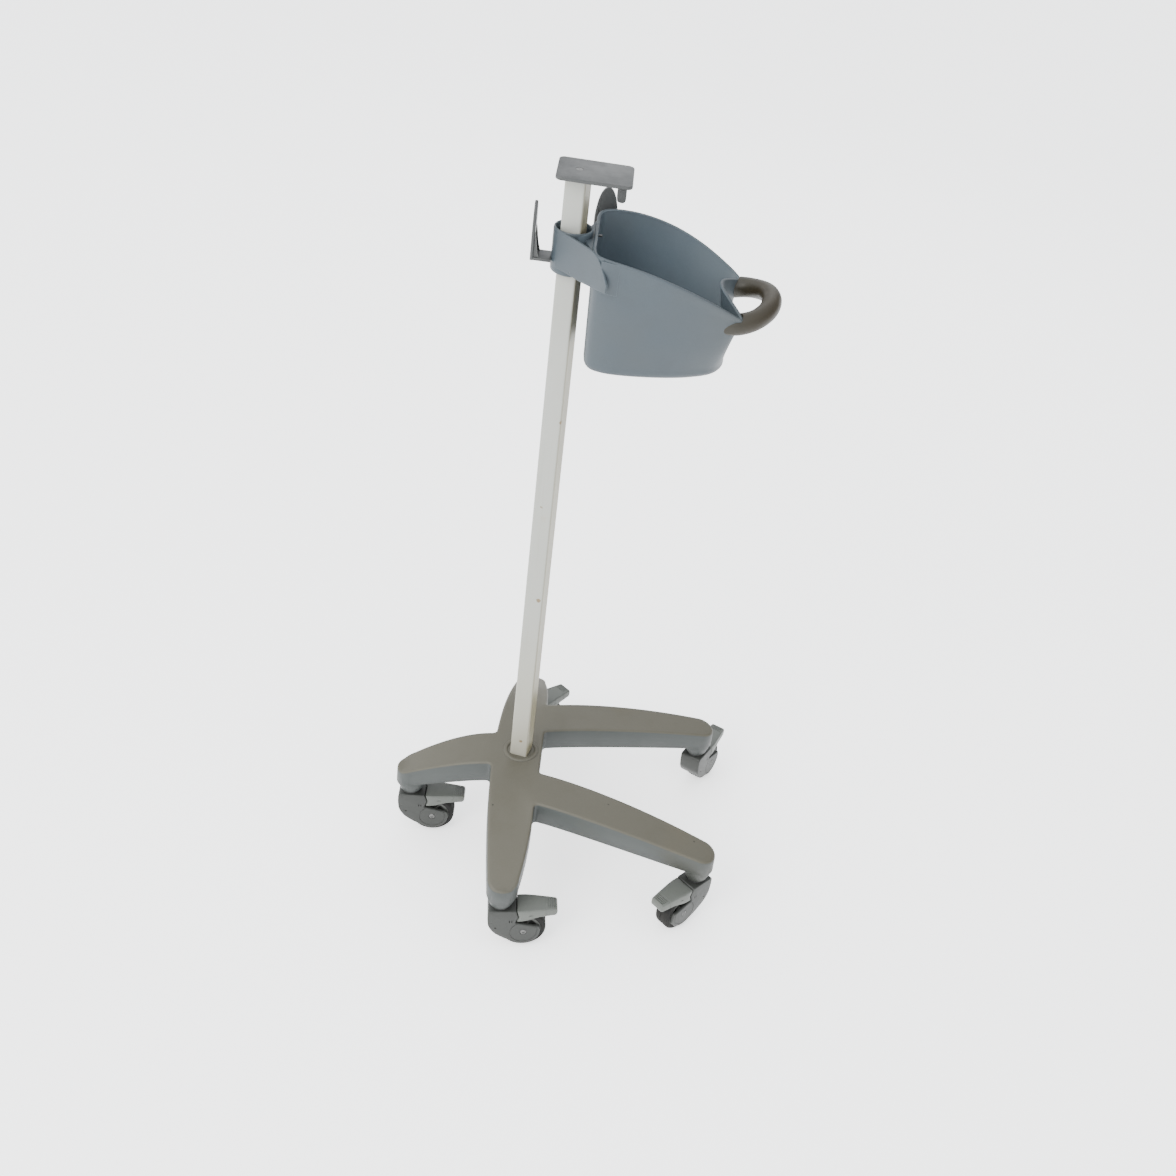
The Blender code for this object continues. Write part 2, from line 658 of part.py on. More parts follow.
def make_collar():
    collar = add("basket_collar", rod_mesh("basket_collar", COLLAR_OUT, COLLAR_UNDER, COLLAR_TOP, 36),
                 "basket_plastic")
    saddle = prism_mesh("saddle", saddle_outline(), SADDLE_UNDER, COLLAR_TOP - 0.002)
    bore = rod_mesh("collar_bore", COLLAR_BORE, COLLAR_UNDER - 0.01, COLLAR_TOP + 0.01, 36)
    join(collar, add("saddle", saddle, None, cutter=True))
    join(collar, add("cheek", cheek_mesh(), None, cutter=True))
    cut(collar, add("collar_bore", bore, None, cutter=True))
    keep_off = rings_mesh("keep_off", basket_rings(2 * GAP, 0.05), True)
    cut(collar, add("keep_off", keep_off, None, cutter=True))
    liner = add("collar_liner", rod_mesh("collar_liner", COLLAR_BORE - GAP, LINER_UNDER, LINER_TOP, 32),
                "liner_plastic")
    hole = square_mesh("liner_hole", POLE_SIDE + 2 * GAP, POLE_ROUND, LINER_UNDER - 0.01, LINER_TOP + 0.01)
    cut(liner, add("liner_hole", hole, None, cutter=True))
    for y, label in ((-0.046, "near"), (0.046, "far")):
        frame = Matrix.Translation(at(0.0, y, 1.138)) @ Matrix.Rotation(math.pi / 2, 4, "Y")
        way = rod_mesh("way", 0.0023, 0.015, 0.050, 10)
        cut(collar, add("collar_way_" + label, way, None, frame, cutter=True))
        shell = bpy.data.objects["basket_shell"]
        cut(shell, add("shell_way_" + label, way.copy(), None, frame, cutter=True))
        screw = bolt_mesh("basket_screw", 0.0020, 0.0045, 0.0205, 0.0240, 0.0400, 10)
        add("basket_screw_" + label, screw, "steel", frame)


# ---------------------------------------------------------------- hooks


def hook_outline(height):
    """An upright blade with a pointed arch for a top, seen face on."""
    half = HOOK_WIDTH / 2
    shoulder = height - 0.040
    right = quadratic(Vector((half, shoulder)), Vector((half * 0.92, height - 0.004)), Vector((0.0, height)),
                      6)
    return [(-half, 0.0), (half, 0.0)] + [tuple(p) for p in right] + [(0.0, height)] + [
        (-p.x, p.y) for p in right[::-1]]


def make_hook(name, frame, height, reach):
    """A hook whose blade stands reach away along local -Y, its foot running back to the collar."""
    half = HOOK_WIDTH / 2
    blade = prism_mesh(name, hook_outline(height), -reach - HOOK_THICK / 2, -reach + HOOK_THICK / 2, "Y")
    hook = add(name, blade, "mount_metal", frame)
    foot = box_mesh("foot", (-half, -reach, 0.0), (half, 0.0, HOOK_THICK))
    join(hook, add(name + "_foot", foot, None, frame, cutter=True))
    return hook


def make_hooks():
    left = Matrix.Translation(at(-COLLAR_OUT - GAP, 0.0, 1.113)) @ Matrix.Rotation(-math.pi / 2, 4, "Z")
    side = make_hook("side_hook", left, 0.083, 0.0255)
    round_off = rod_mesh("hook_clear", COLLAR_OUT + GAP, 1.05, 1.20, 36)
    cut(side, add("hook_clear", round_off, None, cutter=True))
    far = Matrix.Translation(at(0.0415, 0.0920, 1.113)) @ Matrix.Rotation(math.pi, 4, "Z")
    rear = make_hook("rear_hook", far, 0.075, 0.020)
    clear = prism_mesh("saddle_clear", grown_saddle(), 1.0, 1.25)
    cut(rear, add("saddle_clear", clear, None, cutter=True))


def grown_saddle():
    """The saddle's outline with a running gap on its outer side."""
    back = [p for p in whole(RIM_HALF) if p.x < 0.060]
    near = sorted([p for p in back if p.y <= 0], key=lambda p: -p.y)
    path = ([Vector((p.x, -p.y)) for p in near[:0:-1]] + near)[::-1]
    outer = inset_open(path, 0.0008 + SADDLE_THICK + GAP)
    inner = inset_open(path, -0.02)
    return [tuple(p) for p in inner] + [tuple(p) for p in outer[::-1]]


# ---------------------------------------------------------------- device mount


def make_mount():
    inner = POLE_SIDE - 2 * POLE_WALL - 2 * GAP
    plug = add("pole_top_plug", square_mesh("pole_top_plug", inner, 0.001, POLE_TOP - 0.040, POLE_TOP + GAP),
               "mount_metal")
    neck = square_mesh("neck", POLE_SIDE, POLE_ROUND, POLE_TOP + GAP, PLATE_UNDER - GAP)
    join(plug, add("neck", neck, None, cutter=True))
    cut(plug, add("neck_hole", rod_mesh("neck_hole", 0.0028, 1.20, 1.30, 12), None, cutter=True))
    half_x, half_y = PLATE_SIZE[0] / 2, PLATE_SIZE[1] / 2
    low, high = PLATE_UNDER, PLATE_UNDER + PLATE_THICK
    plate = add("device_plate", box_mesh("device_plate", (PLATE_AT - half_x, -half_y, low),
                                         (PLATE_AT + half_x, half_y, high)), "mount_metal")
    bevel(plate, 0.0012, 1, 50)
    sunk = high - SCREW_HEAD_DEPTH - 2 * GAP
    cut(plate, add("plate_hole", rod_mesh("plate_hole", 0.0028, 1.20, 1.30, 12), None, cutter=True),
        add("plate_sink", rod_mesh("plate_sink", 0.0053, sunk, 1.30, 16), None, cutter=True))
    flip = Matrix.Translation(at(0, 0, high - GAP)) @ Matrix.Rotation(math.pi, 4, "X")
    screw = bolt_mesh("plate_screw", 0.0025, 0.005, 0.0, SCREW_HEAD_DEPTH, 0.030, 12)
    add("plate_screw", screw, "steel", flip)
    make_lever()


def make_lever():
    """The release lever that hangs under the front of the plate, on a pin between two ears."""
    ear_y = 0.0085
    for side, label in ((-1, "near"), (1, "far")):
        low, high = sorted((side * ear_y, side * (ear_y + 0.0035)))
        outline = [(LEVER_X - 0.0125, PLATE_UNDER - GAP), (LEVER_X - 0.007, LEVER_PIN_Z - 0.010),
                   (LEVER_X + 0.007, LEVER_PIN_Z - 0.010), (LEVER_X + 0.0125, PLATE_UNDER - GAP)]
        ear = add("lever_ear_" + label, prism_mesh("ear", outline, low, high, "Y"), "mount_metal")
        way = rod_mesh("pin_way", 0.0018, -0.02, 0.02, 12, "Y", (LEVER_X, LEVER_PIN_Z))
        cut(ear, add("pin_way_" + label, way, None, cutter=True))
    half = ear_y - 2 * GAP
    outline = [(LEVER_X - 0.0050, LEVER_PIN_Z + 0.0035), (LEVER_X - 0.0065, LEVER_PIN_Z - 0.014),
               (LEVER_X - 0.0052, 1.2125), (LEVER_X + 0.0045, 1.2120), (LEVER_X + 0.0062, 1.2170),
               (LEVER_X + 0.0058, LEVER_PIN_Z - 0.004),
               (LEVER_X + 0.0035, LEVER_PIN_Z + 0.0040)]
    lever = add("release_lever", prism_mesh("release_lever", outline, -half, half, "Y"), "mount_metal")
    way = rod_mesh("lever_way", 0.0018, -0.02, 0.02, 12, "Y", (LEVER_X, LEVER_PIN_Z))
    cut(lever, add("lever_way", way, None, cutter=True))
    pin = rod_mesh("lever_pin", 0.0015, -0.0135, 0.0135, 12, "Y", (LEVER_X, LEVER_PIN_Z))
    add("lever_pin", pin, "steel")


def main():
    start()
    make_base()
    make_pole()
    for name, (x, y, heading) in LEGS.items():
        make_caster(name, x, y, heading)
    make_basket()
    make_collar()
    make_hooks()
    make_mount()


main()
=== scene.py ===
"""The wheeled equipment stand with its basket: fine surfaces and procedural materials."""
import math

import bmesh
import bpy
from mathutils import Matrix, Vector


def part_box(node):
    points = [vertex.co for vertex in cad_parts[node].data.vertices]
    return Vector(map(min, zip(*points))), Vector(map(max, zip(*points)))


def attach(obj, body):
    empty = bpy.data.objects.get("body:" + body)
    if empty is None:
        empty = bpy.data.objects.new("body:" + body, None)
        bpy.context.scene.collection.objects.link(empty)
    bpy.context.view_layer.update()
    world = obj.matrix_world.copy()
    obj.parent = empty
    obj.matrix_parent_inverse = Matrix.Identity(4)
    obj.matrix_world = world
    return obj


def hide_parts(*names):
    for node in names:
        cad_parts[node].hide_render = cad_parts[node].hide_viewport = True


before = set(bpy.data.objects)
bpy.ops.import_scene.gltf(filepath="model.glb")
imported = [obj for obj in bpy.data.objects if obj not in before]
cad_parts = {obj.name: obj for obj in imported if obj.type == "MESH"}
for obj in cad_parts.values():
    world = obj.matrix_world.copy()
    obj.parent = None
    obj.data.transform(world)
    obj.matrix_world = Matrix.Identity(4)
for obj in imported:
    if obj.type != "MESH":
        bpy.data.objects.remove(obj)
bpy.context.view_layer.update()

LEGS = ("left", "near", "front_near", "front_far", "far")


def middle(node):
    low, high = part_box(node)
    return (Vector(low) + Vector(high)) / 2


POLE = middle("pole")
POLE.z = 0.0
TIPS = {leg: middle("stem_" + leg) - POLE for leg in LEGS}
TRAILS = {leg: middle("axle_" + leg) - middle("stem_" + leg) for leg in LEGS}


# ---------------------------------------------------------------- camera and light

# The camera was fitted to the photograph's landmarks. The shift is part of the fit.
CAMERA_FROM_POLE = Vector((0.0577, -1.9411, 1.9614))
CAMERA_HEADING, CAMERA_DOWN, CAMERA_ROLL = -10.73, 30.89, 12.23
CAMERA_LENS, SENSOR_WIDTH, CAMERA_SHIFT = 44.776, 36.0, (-0.20, -0.08)
CLIP_END = 200.0

camera = bpy.data.objects.new("camera", bpy.data.cameras.new("camera"))
bpy.context.scene.collection.objects.link(camera)
bpy.context.scene.camera = camera
camera.matrix_world = (Matrix.Translation(POLE + CAMERA_FROM_POLE)
                       @ Matrix.Rotation(math.radians(CAMERA_HEADING), 4, "Z")
                       @ Matrix.Rotation(math.radians(90.0 - CAMERA_DOWN), 4, "X")
                       @ Matrix.Rotation(math.radians(CAMERA_ROLL), 4, "Z"))
camera.data.lens = CAMERA_LENS
camera.data.sensor_width = SENSOR_WIDTH
camera.data.shift_x, camera.data.shift_y = CAMERA_SHIFT
camera.data.clip_end = CLIP_END


def area_light(name, spot, target, size, power, colour):
    """A round area light at a spot, turned to a target."""
    light = bpy.data.lights.new(name, "AREA")
    light.shape = "DISK"
    light.size = size
    light.energy = power
    light.color = colour
    obj = bpy.data.objects.new(name, light)
    obj.location = spot
    obj.rotation_euler = (Vector(target) - Vector(spot)).to_track_quat("-Z", "Y").to_euler()
    bpy.context.scene.collection.objects.link(obj)


area_light("key", (-2.2, -2.6, 3.2), (0, 0, 0.6), size=2.4, power=125.0,
           colour=(1.0, 0.985, 0.96))
area_light("fill", (2.8, -1.8, 1.6), (0, 0, 0.6), size=2.6, power=9.0, colour=(0.95, 0.98, 1.0))
area_light("back", (0.6, 3.2, 2.6), (0, 0, 0.8), size=2.4, power=24.0, colour=(0.97, 0.99, 1.0))

# The sky is brightest up and to the left, where the photograph's light comes from.
SKY_COLOUR, SKY_BRIGHT_WAY = (0.95, 0.97, 1.0, 1.0), (-0.50, -0.38, 0.78)
SKY_RANGE = {"From Min": -0.25, "From Max": 1.0, "To Min": 0.60, "To Max": 3.5}

world = bpy.context.scene.world or bpy.data.worlds.new("world")
bpy.context.scene.world = world
world.use_nodes = True
sky = world.node_tree
sky.nodes["Background"].inputs["Color"].default_value = SKY_COLOUR
way = sky.nodes.new("ShaderNodeTexCoord")
lean = sky.nodes.new("ShaderNodeVectorMath")
lean.operation = "DOT_PRODUCT"
lean.inputs[1].default_value = SKY_BRIGHT_WAY
span = sky.nodes.new("ShaderNodeMapRange")
for socket_name, number in SKY_RANGE.items():
    span.inputs[socket_name].default_value = number
sky.links.new(way.outputs["Generated"], lean.inputs[0])
sky.links.new(lean.outputs["Value"], span.inputs["Value"])
sky.links.new(span.outputs[0], sky.nodes["Background"].inputs["Strength"])


# ---------------------------------------------------------------- materials


class Look:
    """A Principled material built up in layers over object coordinates.

    Masks run from 0 to 1. Colours pass through toned(), so gain and vivid set a whole look at once.
    """

    SPECULAR = 0.32

    def __init__(self, name, colour, roughness, metallic=0.0, gain=1.0, vivid=1.0):
        self.gain, self.vivid = gain, vivid
        self.material = bpy.data.materials.new(name)
        self.material.use_nodes = True
        self.tree = self.material.node_tree
        self.shader = self.tree.nodes["Principled BSDF"]
        self.shader.inputs["Metallic"].default_value = metallic
        self.shader.inputs["Roughness"].default_value = roughness
        self.shader.inputs["Specular IOR Level"].default_value = self.SPECULAR
        self.coords = self.tree.nodes.new("ShaderNodeTexCoord").outputs["Object"]
        first = self.tree.nodes.new("ShaderNodeRGB")
        first.outputs[0].default_value = self.toned(colour)
        self.colour = first.outputs[0]
        self.height = None

    def toned(self, colour):
        """The colour made deeper by gain and more saturated by vivid, with alpha 1."""
        grey = sum(colour) / 3
        red, green, blue = (max(0.0, (grey + (c - grey) * self.vivid) * self.gain) for c in colour)
        return red, green, blue, 1.0

    def node(self, kind, **inputs):
        """A node: set_NAME sets a property, inN the Nth socket, and another key a named socket."""
        made = self.tree.nodes.new(kind)
        for key, value in inputs.items():
            if key.startswith("set_"):
                setattr(made, key[4:], value)
        for key, value in inputs.items():
            if key.startswith("set_"):
                continue
            socket = made.inputs[int(key[2:])] if key.startswith("in") else made.inputs[key]
            if isinstance(value, bpy.types.NodeSocket):
                self.tree.links.new(value, socket)
            else:
                socket.default_value = value
        return made

    def math(self, operation, a, b, clamp=False):
        made = self.node("ShaderNodeMath", set_operation=operation, set_use_clamp=clamp,
                         in0=a, in1=b)
        return made.outputs[0]

    def noise(self, scale, detail=3.0, stretch=(1, 1, 1)):
        at = self.node("ShaderNodeMapping", Vector=self.coords, Scale=stretch).outputs[0]
        return self.node("ShaderNodeTexNoise", Vector=at, Scale=scale, Detail=detail,
                         Roughness=0.6).outputs["Fac"]

    def band(self, value, low, high, to_low=0.0, to_high=1.0):
        """A value from low to high, laid out from to_low to to_high and held at both ends."""
        made = self.node("ShaderNodeMapRange", Value=value)
        ends = {"From Min": low, "From Max": high, "To Min": to_low, "To Max": to_high}
        for socket_name, number in ends.items():
            made.inputs[socket_name].default_value = number
        return made.outputs[0]

    def tint(self, mask, colour, strength):
        """Mixes a colour over the layers so far, where mask is 1."""
        factor = self.math("MULTIPLY", mask, strength, clamp=True)
        made = self.node("ShaderNodeMix", set_data_type="RGBA", in0=factor, in6=self.colour)
        made.inputs[7].default_value = self.toned(colour)
        self.colour = made.outputs[2]
        return self

    def shade(self, mask, amount):
        """Darkens (below 1) or lightens (above 1) where mask is 1."""
        factor = self.band(mask, 0.0, 1.0, 1.0, amount)
        grey = self.node("ShaderNodeCombineColor", in0=factor, in1=factor, in2=factor).outputs[0]
        made = self.node("ShaderNodeMix", set_data_type="RGBA", set_blend_type="MULTIPLY",
                         in6=self.colour, in7=grey)
        made.inputs[0].default_value = 1.0
        self.colour = made.outputs[2]
        return self

    def rough(self, value, low, high):
        self.tree.links.new(self.band(value, 0.3, 0.7, low, high), self.shader.inputs["Roughness"])
        return self

    def relief(self, value, amount):
        scaled = self.math("MULTIPLY", value, amount)
        self.height = scaled if self.height is None else self.math("ADD", self.height, scaled)
        return self

    def edges(self, radius):
        """1 along sharp edges, from the difference between the rounded and the real normal."""
        rounded = self.node("ShaderNodeBevel", set_samples=4, Radius=radius).outputs[0]
        real = self.tree.nodes.new("ShaderNodeNewGeometry").outputs["Normal"]
        made = self.node("ShaderNodeVectorMath", set_operation="DOT_PRODUCT", in0=rounded, in1=real)
        return self.band(made.outputs["Value"], 0.985, 0.80)

    def facing(self, axis, low, high):
        """A band of the surface normal's part along an axis, 0 for x or 2 for z."""
        real = self.tree.nodes.new("ShaderNodeNewGeometry").outputs["Normal"]
        return self.band(self.node("ShaderNodeSeparateXYZ", Vector=real).outputs[axis], low, high)

    def inside(self, centre):
        """1 on the faces that look towards a centre."""
        normal = self.tree.nodes.new("ShaderNodeTexCoord").outputs["Normal"]
        away = self.node("ShaderNodeVectorMath", set_operation="SUBTRACT", in0=self.coords,
                         in1=tuple(centre)).outputs["Vector"]
        made = self.node("ShaderNodeVectorMath", set_operation="DOT_PRODUCT", in0=away, in1=normal)
        return self.band(made.outputs["Value"], 0.0, -0.02)

    def along(self, axis, low, high):
        """A band of the object coordinate along an axis."""
        parts = self.node("ShaderNodeSeparateXYZ", Vector=self.coords)
        return self.band(parts.outputs[axis], low, high)

    def spot(self, point, radius, ragged):
        """1 within radius of a point, with a ragged outline."""
        away = self.node("ShaderNodeVectorMath", set_operation="DISTANCE", in0=self.coords,
                         in1=tuple(point)).outputs["Value"]
        wander = self.math("SUBTRACT", self.noise(260.0), 0.5)
        frayed = self.math("ADD", away, self.math("MULTIPLY", wander, ragged * 2))
        return self.band(frayed, radius, radius * 0.75)

    def pits(self, scale, size):
        """1 in small round marks, in about a third of the cells of a cell pattern."""
        made = self.node("ShaderNodeTexVoronoi", Vector=self.coords, Scale=scale)
        near = self.band(made.outputs["Distance"], size, size * 0.5)
        chosen = self.node("ShaderNodeSeparateColor", in0=made.outputs["Color"]).outputs[0]
        return self.math("MULTIPLY", near, self.band(chosen, 0.62, 0.66))

    def done(self):
        """Joins the colour and the relief to the shader and gives the material."""
        self.tree.links.new(self.colour, self.shader.inputs["Base Color"])
        if self.height is not None:
            bump = self.node("ShaderNodeBump", Height=self.height, Strength=1.0, Distance=0.001)
            self.tree.links.new(bump.outputs[0], self.shader.inputs["Normal"])
        return self.material


def moulded(name, colour, light, dark, roughness, wear, gain, vivid=1.0, pits=0.0, edge=0.0018):
    """Moulded plastic: slow mottling, fine grain, pale worn edges and a few pits."""
    look = Look(name, colour, roughness, 0.0, gain, vivid)
    slow, fine = look.noise(9.0, 4.0), look.noise(620.0, 2.0)
    look.tint(look.band(slow, 0.42, 0.72), light, 0.55)
    look.tint(look.band(look.noise(23.0, 5.0), 0.52, 0.75), dark, 0.45)
    look.shade(look.band(fine, 0.35, 0.65), 1.06)
    streak = look.band(look.noise(70.0, 3.0, (1, 1, 0.07)), 0.60, 0.78)
    look.tint(streak, light, 0.22)
    patchy = look.band(look.noise(38.0), 0.30, 0.62, 0.45, 1.0)
    worn = look.math("MULTIPLY", look.edges(edge), patchy)
    look.tint(worn, tuple(min(1.0, c * 1.75 + 0.02) for c in light), wear)
    if pits:
        marks = look.pits(26.0, 0.055)
        look.tint(marks, tuple(c * 0.25 for c in dark), pits)
        look.relief(marks, -0.35)
    look.rough(slow, roughness - 0.07, roughness + 0.09)
    look.relief(fine, 0.05)
    look.relief(look.noise(170.0, 2.0), 0.05)
    return look


def base_look():
    look = moulded("base_plastic_look", (0.212, 0.203, 0.170), (0.236, 0.228, 0.196),
                   (0.186, 0.176, 0.142), 0.50, wear=0.42, pits=0.8, edge=0.0026, gain=0.27,
                   vivid=1.7)
    # Painted shade: faces that turn from up towards sideways get a darker, cooler colour than the
    # top.
    look.tint(look.facing(2, 0.55, 0.15), (0.120, 0.136, 0.138), 0.80)
    look.tint(look.band(look.noise(4.5, 3.0), 0.55, 0.75), (0.235, 0.212, 0.160), 0.45)
    # Painted shade: the base gets darker towards its lower edge.
    look.shade(look.along(2, 0.150, 0.088), 0.80)
    return look.done()


def pole_look():
    look = Look("pole_paint_look", (0.585, 0.590, 0.562), 0.33, 0.0, 0.48, 2.2)
    slow = look.noise(7.0, 4.0, (1, 1, 0.25))
    look.tint(look.band(slow, 0.45, 0.70), (0.635, 0.640, 0.620), 0.6)
    look.tint(look.along(2, 0.50, 0.19), (0.520, 0.495, 0.430), 0.55)
    # Painted shade: the side of the pole that faces +x gets a darker olive colour.
    look.tint(look.facing(0, 0.30, 0.80), (0.300, 0.280, 0.215), 0.75)
    look.tint(look.band(look.noise(120.0, 3.0, (1, 1, 0.03)), 0.60, 0.75), (0.48, 0.48, 0.45), 0.35)
    look.tint(look.band(look.noise(34.0, 5.0), 0.66, 0.74), (0.50, 0.46, 0.39), 0.35)
    worn = look.math("MULTIPLY", look.edges(0.0022), look.band(look.noise(55.0), 0.52, 0.66))
    look.tint(worn, (0.36, 0.34, 0.30), 0.55)
    for height, side in ((0.528, 0.0), (0.225, -0.006), (0.86, 0.008), (0.705, -0.010)):
        chip = look.spot(POLE + Vector((0.004 + side, -0.0175, height)), 0.0042, 0.0022)
        look.tint(chip, (0.235, 0.190, 0.140), 0.85)
        look.relief(chip, -0.25)
    look.rough(slow, 0.28, 0.42)
    look.relief(look.noise(240.0, 2.0), 0.035)
    return look.done()


def caster_look(name, gain):
    look = moulded(name, (0.158, 0.166, 0.152), (0.188, 0.196, 0.184), (0.118, 0.122, 0.108), 0.44,
                   wear=0.5, pits=0.4, edge=0.0014, gain=gain, vivid=1.4)
    look.tint(look.band(look.noise(60.0, 4.0), 0.60, 0.75), (0.215, 0.205, 0.175), 0.35)
    return look.done()


def rubber_look():
    look = Look("tyre_look", (0.014, 0.014, 0.013), 0.62, 0.0, 0.5)
    dusty = look.band(look.noise(45.0, 4.0), 0.45, 0.75)
    look.tint(dusty, (0.060, 0.056, 0.048), 0.5)
    look.tint(look.band(look.noise(900.0), 0.62, 0.7), (0.09, 0.085, 0.075), 0.4)
    look.rough(look.noise(45.0, 4.0), 0.62, 0.86)
    look.shader.inputs["Specular IOR Level"].default_value = 0.2
    look.relief(look.noise(700.0), 0.12)
    return look.done()


def rim_look():
    return moulded("rim_plastic_look", (0.100, 0.104, 0.096), (0.150, 0.152, 0.140),
                   (0.060, 0.060, 0.054), 0.46, wear=0.6, gain=0.45).done()


def basket_look():
    look = moulded("basket_plastic_look", (0.188, 0.219, 0.244), (0.214, 0.244, 0.262),
                   (0.160, 0.184, 0.204), 0.47, wear=0.75, pits=0.25, edge=0.0022, gain=0.21,
                   vivid=1.8)
    look.tint(look.along(0, POLE.x + 0.12, POLE.x + 0.27), (0.180, 0.198, 0.205), 0.5)
    look.tint(look.band(look.noise(5.0, 3.0), 0.5, 0.7), (0.222, 0.238, 0.240), 0.35)
    # Painted light: the inner faces, those that look towards a point inside the basket, are
    # lightened.
    look.shade(look.inside(POLE + Vector((0.14, 0.0, 1.06))), 1.75)
    return look.done()


def handle_look():
    look = moulded("handle_plastic_look", (0.196, 0.186, 0.150), (0.214, 0.196, 0.150),
                   (0.140, 0.118, 0.076), 0.44, wear=0.35, edge=0.002, gain=0.078, vivid=1.8)
    tip = look.along(0, POLE.x + 0.235, POLE.x + 0.300)
    look.tint(tip, (0.178, 0.138, 0.082), 0.85)
    rubbed = look.math("MULTIPLY", tip, look.band(look.noise(48.0, 4.0), 0.45, 0.62))
    look.tint(rubbed, (0.255, 0.215, 0.145), 0.55)
    look.tint(look.band(look.noise(30.0, 4.0), 0.56, 0.70), (0.105, 0.080, 0.048), 0.5)
    return look.done()


def metal_look():
    look = Look("mount_metal_look", (0.165, 0.172, 0.172), 0.42, 0.15, 0.26)
    look.tint(look.band(look.noise(14.0, 4.0), 0.45, 0.7), (0.205, 0.212, 0.210), 0.6)
    look.tint(look.band(look.noise(90.0, 4.0), 0.60, 0.72), (0.105, 0.108, 0.104), 0.5)
    patchy = look.band(look.noise(60.0), 0.30, 0.60, 0.4, 1.0)
    worn = look.math("MULTIPLY", look.edges(0.0016), patchy)
    look.tint(worn, (0.44, 0.45, 0.44), 0.7)
    look.rough(look.noise(30.0, 4.0), 0.34, 0.52)
    look.relief(look.noise(420.0, 2.0), 0.06)
    return look.done()


def steel_look():
    look = Look("steel_look", (0.50, 0.50, 0.49), 0.34, 1.0, 0.28)
    look.tint(look.band(look.noise(260.0, 4.0), 0.5, 0.7), (0.30, 0.29, 0.27), 0.6)
    look.rough(look.noise(180.0, 3.0), 0.24, 0.5)
    look.relief(look.noise(900.0, 2.0, (1, 1, 0.1)), 0.05)
    return look.done()


def dark_look():
    look = Look("liner_look", (0.040, 0.041, 0.040), 0.55, 0.0, 0.6)
    look.tint(look.band(look.noise(60.0, 4.0), 0.5, 0.72), (0.085, 0.083, 0.076), 0.6)
    look.rough(look.noise(50.0, 3.0), 0.45, 0.68)
    look.relief(look.noise(500.0, 2.0), 0.06)
    return look.done()


def floor_look():
    look = Look("floor_look", (0.90, 0.90, 0.895), 0.7)
    look.tint(look.band(look.noise(0.7, 3.0), 0.4, 0.7), (0.885, 0.888, 0.885), 0.5)
    look.rough(look.noise(3.0), 0.62, 0.78)
    look.shader.inputs["Emission Color"].default_value = (1.0, 1.0, 0.995, 1.0)
    look.shader.inputs["Emission Strength"].default_value = 1.2
    return look.done()


BASE, PAINT, TYRE, RIM = base_look(), pole_look(), rubber_look(), rim_look()
# The housings and the pedals are one plastic in two copies: the housings' copy is darkened (painted
# shade) and the pedals' copy is lightened (painted light).
HOUSING_SHADED, PEDAL_LIGHTENED = caster_look("caster_plastic_look", 0.14), caster_look("pedal_plastic_lightened_look", 0.48)
BASKET, HANDLE, METAL = basket_look(), handle_look(), metal_look()
STEEL, DARK = steel_look(), dark_look()


# ---------------------------------------------------------------- mesh tools


def to_object(name, bm, smooth=38.0, place=None):
    """A linked object of the bmesh, which is freed, smooth below an angle in degrees."""
    bmesh.ops.recalc_face_normals(bm, faces=bm.faces)
    mesh = bpy.data.meshes.new(name)
    bm.to_mesh(mesh)
    bm.free()
    obj = bpy.data.objects.new(name, mesh)
    if place is not None:
        obj.matrix_world = place
    bpy.context.scene.collection.objects.link(obj)
    soften(mesh, smooth)
    return obj


def soften(mesh, angle):
    mesh.shade_smooth()
    mesh.set_sharp_from_angle(angle=math.radians(angle))


def settle(obj, smooth=38.0):
    """Applies the object's modifiers to its mesh."""
    mesh = bpy.data.meshes.new_from_object(obj.evaluated_get(bpy.context.evaluated_depsgraph_get()))
    obj.modifiers.clear()
    obj.data = mesh
    soften(mesh, smooth)
    return obj


def rounded(obj, width, segments, angle=40.0):
    """Adds a bevel on edges sharper than an angle in degrees. settle() or cut() applies it."""
    mod = obj.modifiers.new("round", "BEVEL")
    mod.width = width
    mod.segments = segments
    mod.limit_method = "ANGLE"
    mod.angle_limit = math.radians(angle)
    return obj


def cut(obj, *tools):
    """Takes the tools' shapes away from the object, applies that and removes the tools."""
    for tool in tools:
        mod = obj.modifiers.new("cut", "BOOLEAN")
        mod.operation = "DIFFERENCE"
        mod.solver = "EXACT"
        mod.object = tool
    settle(obj)
    for tool in tools:
        bpy.data.objects.remove(tool, do_unlink=True)
    return obj


def piece(obj, body, look, nodes=()):
    """Gives the object its look, hides the nodes that it stands for and sets it on its body."""
    obj.data.materials.clear()
    obj.data.materials.append(look)
    if nodes:
        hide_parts(*nodes)
    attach(obj, body)
    return obj


def keep(node, look):
    """A CAD node whose shape is right, with a finer material."""
    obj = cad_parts[node]
    for k in range(len(obj.material_slots)):
        obj.material_slots[k].material = look


def prism(outline, low, high, axis="Y"):
    """An outline swept along an axis. Its two coordinates are the other two axes, in order."""
    bm = bmesh.new()
    place = {"X": lambda a, b, h: (h, a, b), "Y": lambda a, b, h: (a, h, b),
             "Z": lambda a, b, h: (a, b, h)}[axis]
    rings = [[bm.verts.new(place(a, b, h)) for a, b in outline] for h in (low, high)]
    bm.faces.new(rings[0][::-1])
    bm.faces.new(rings[1])
    for i in range(len(outline)):
        j = (i + 1) % len(outline)
        bm.faces.new((rings[0][i], rings[0][j], rings[1][j], rings[1][i]))
    return bm


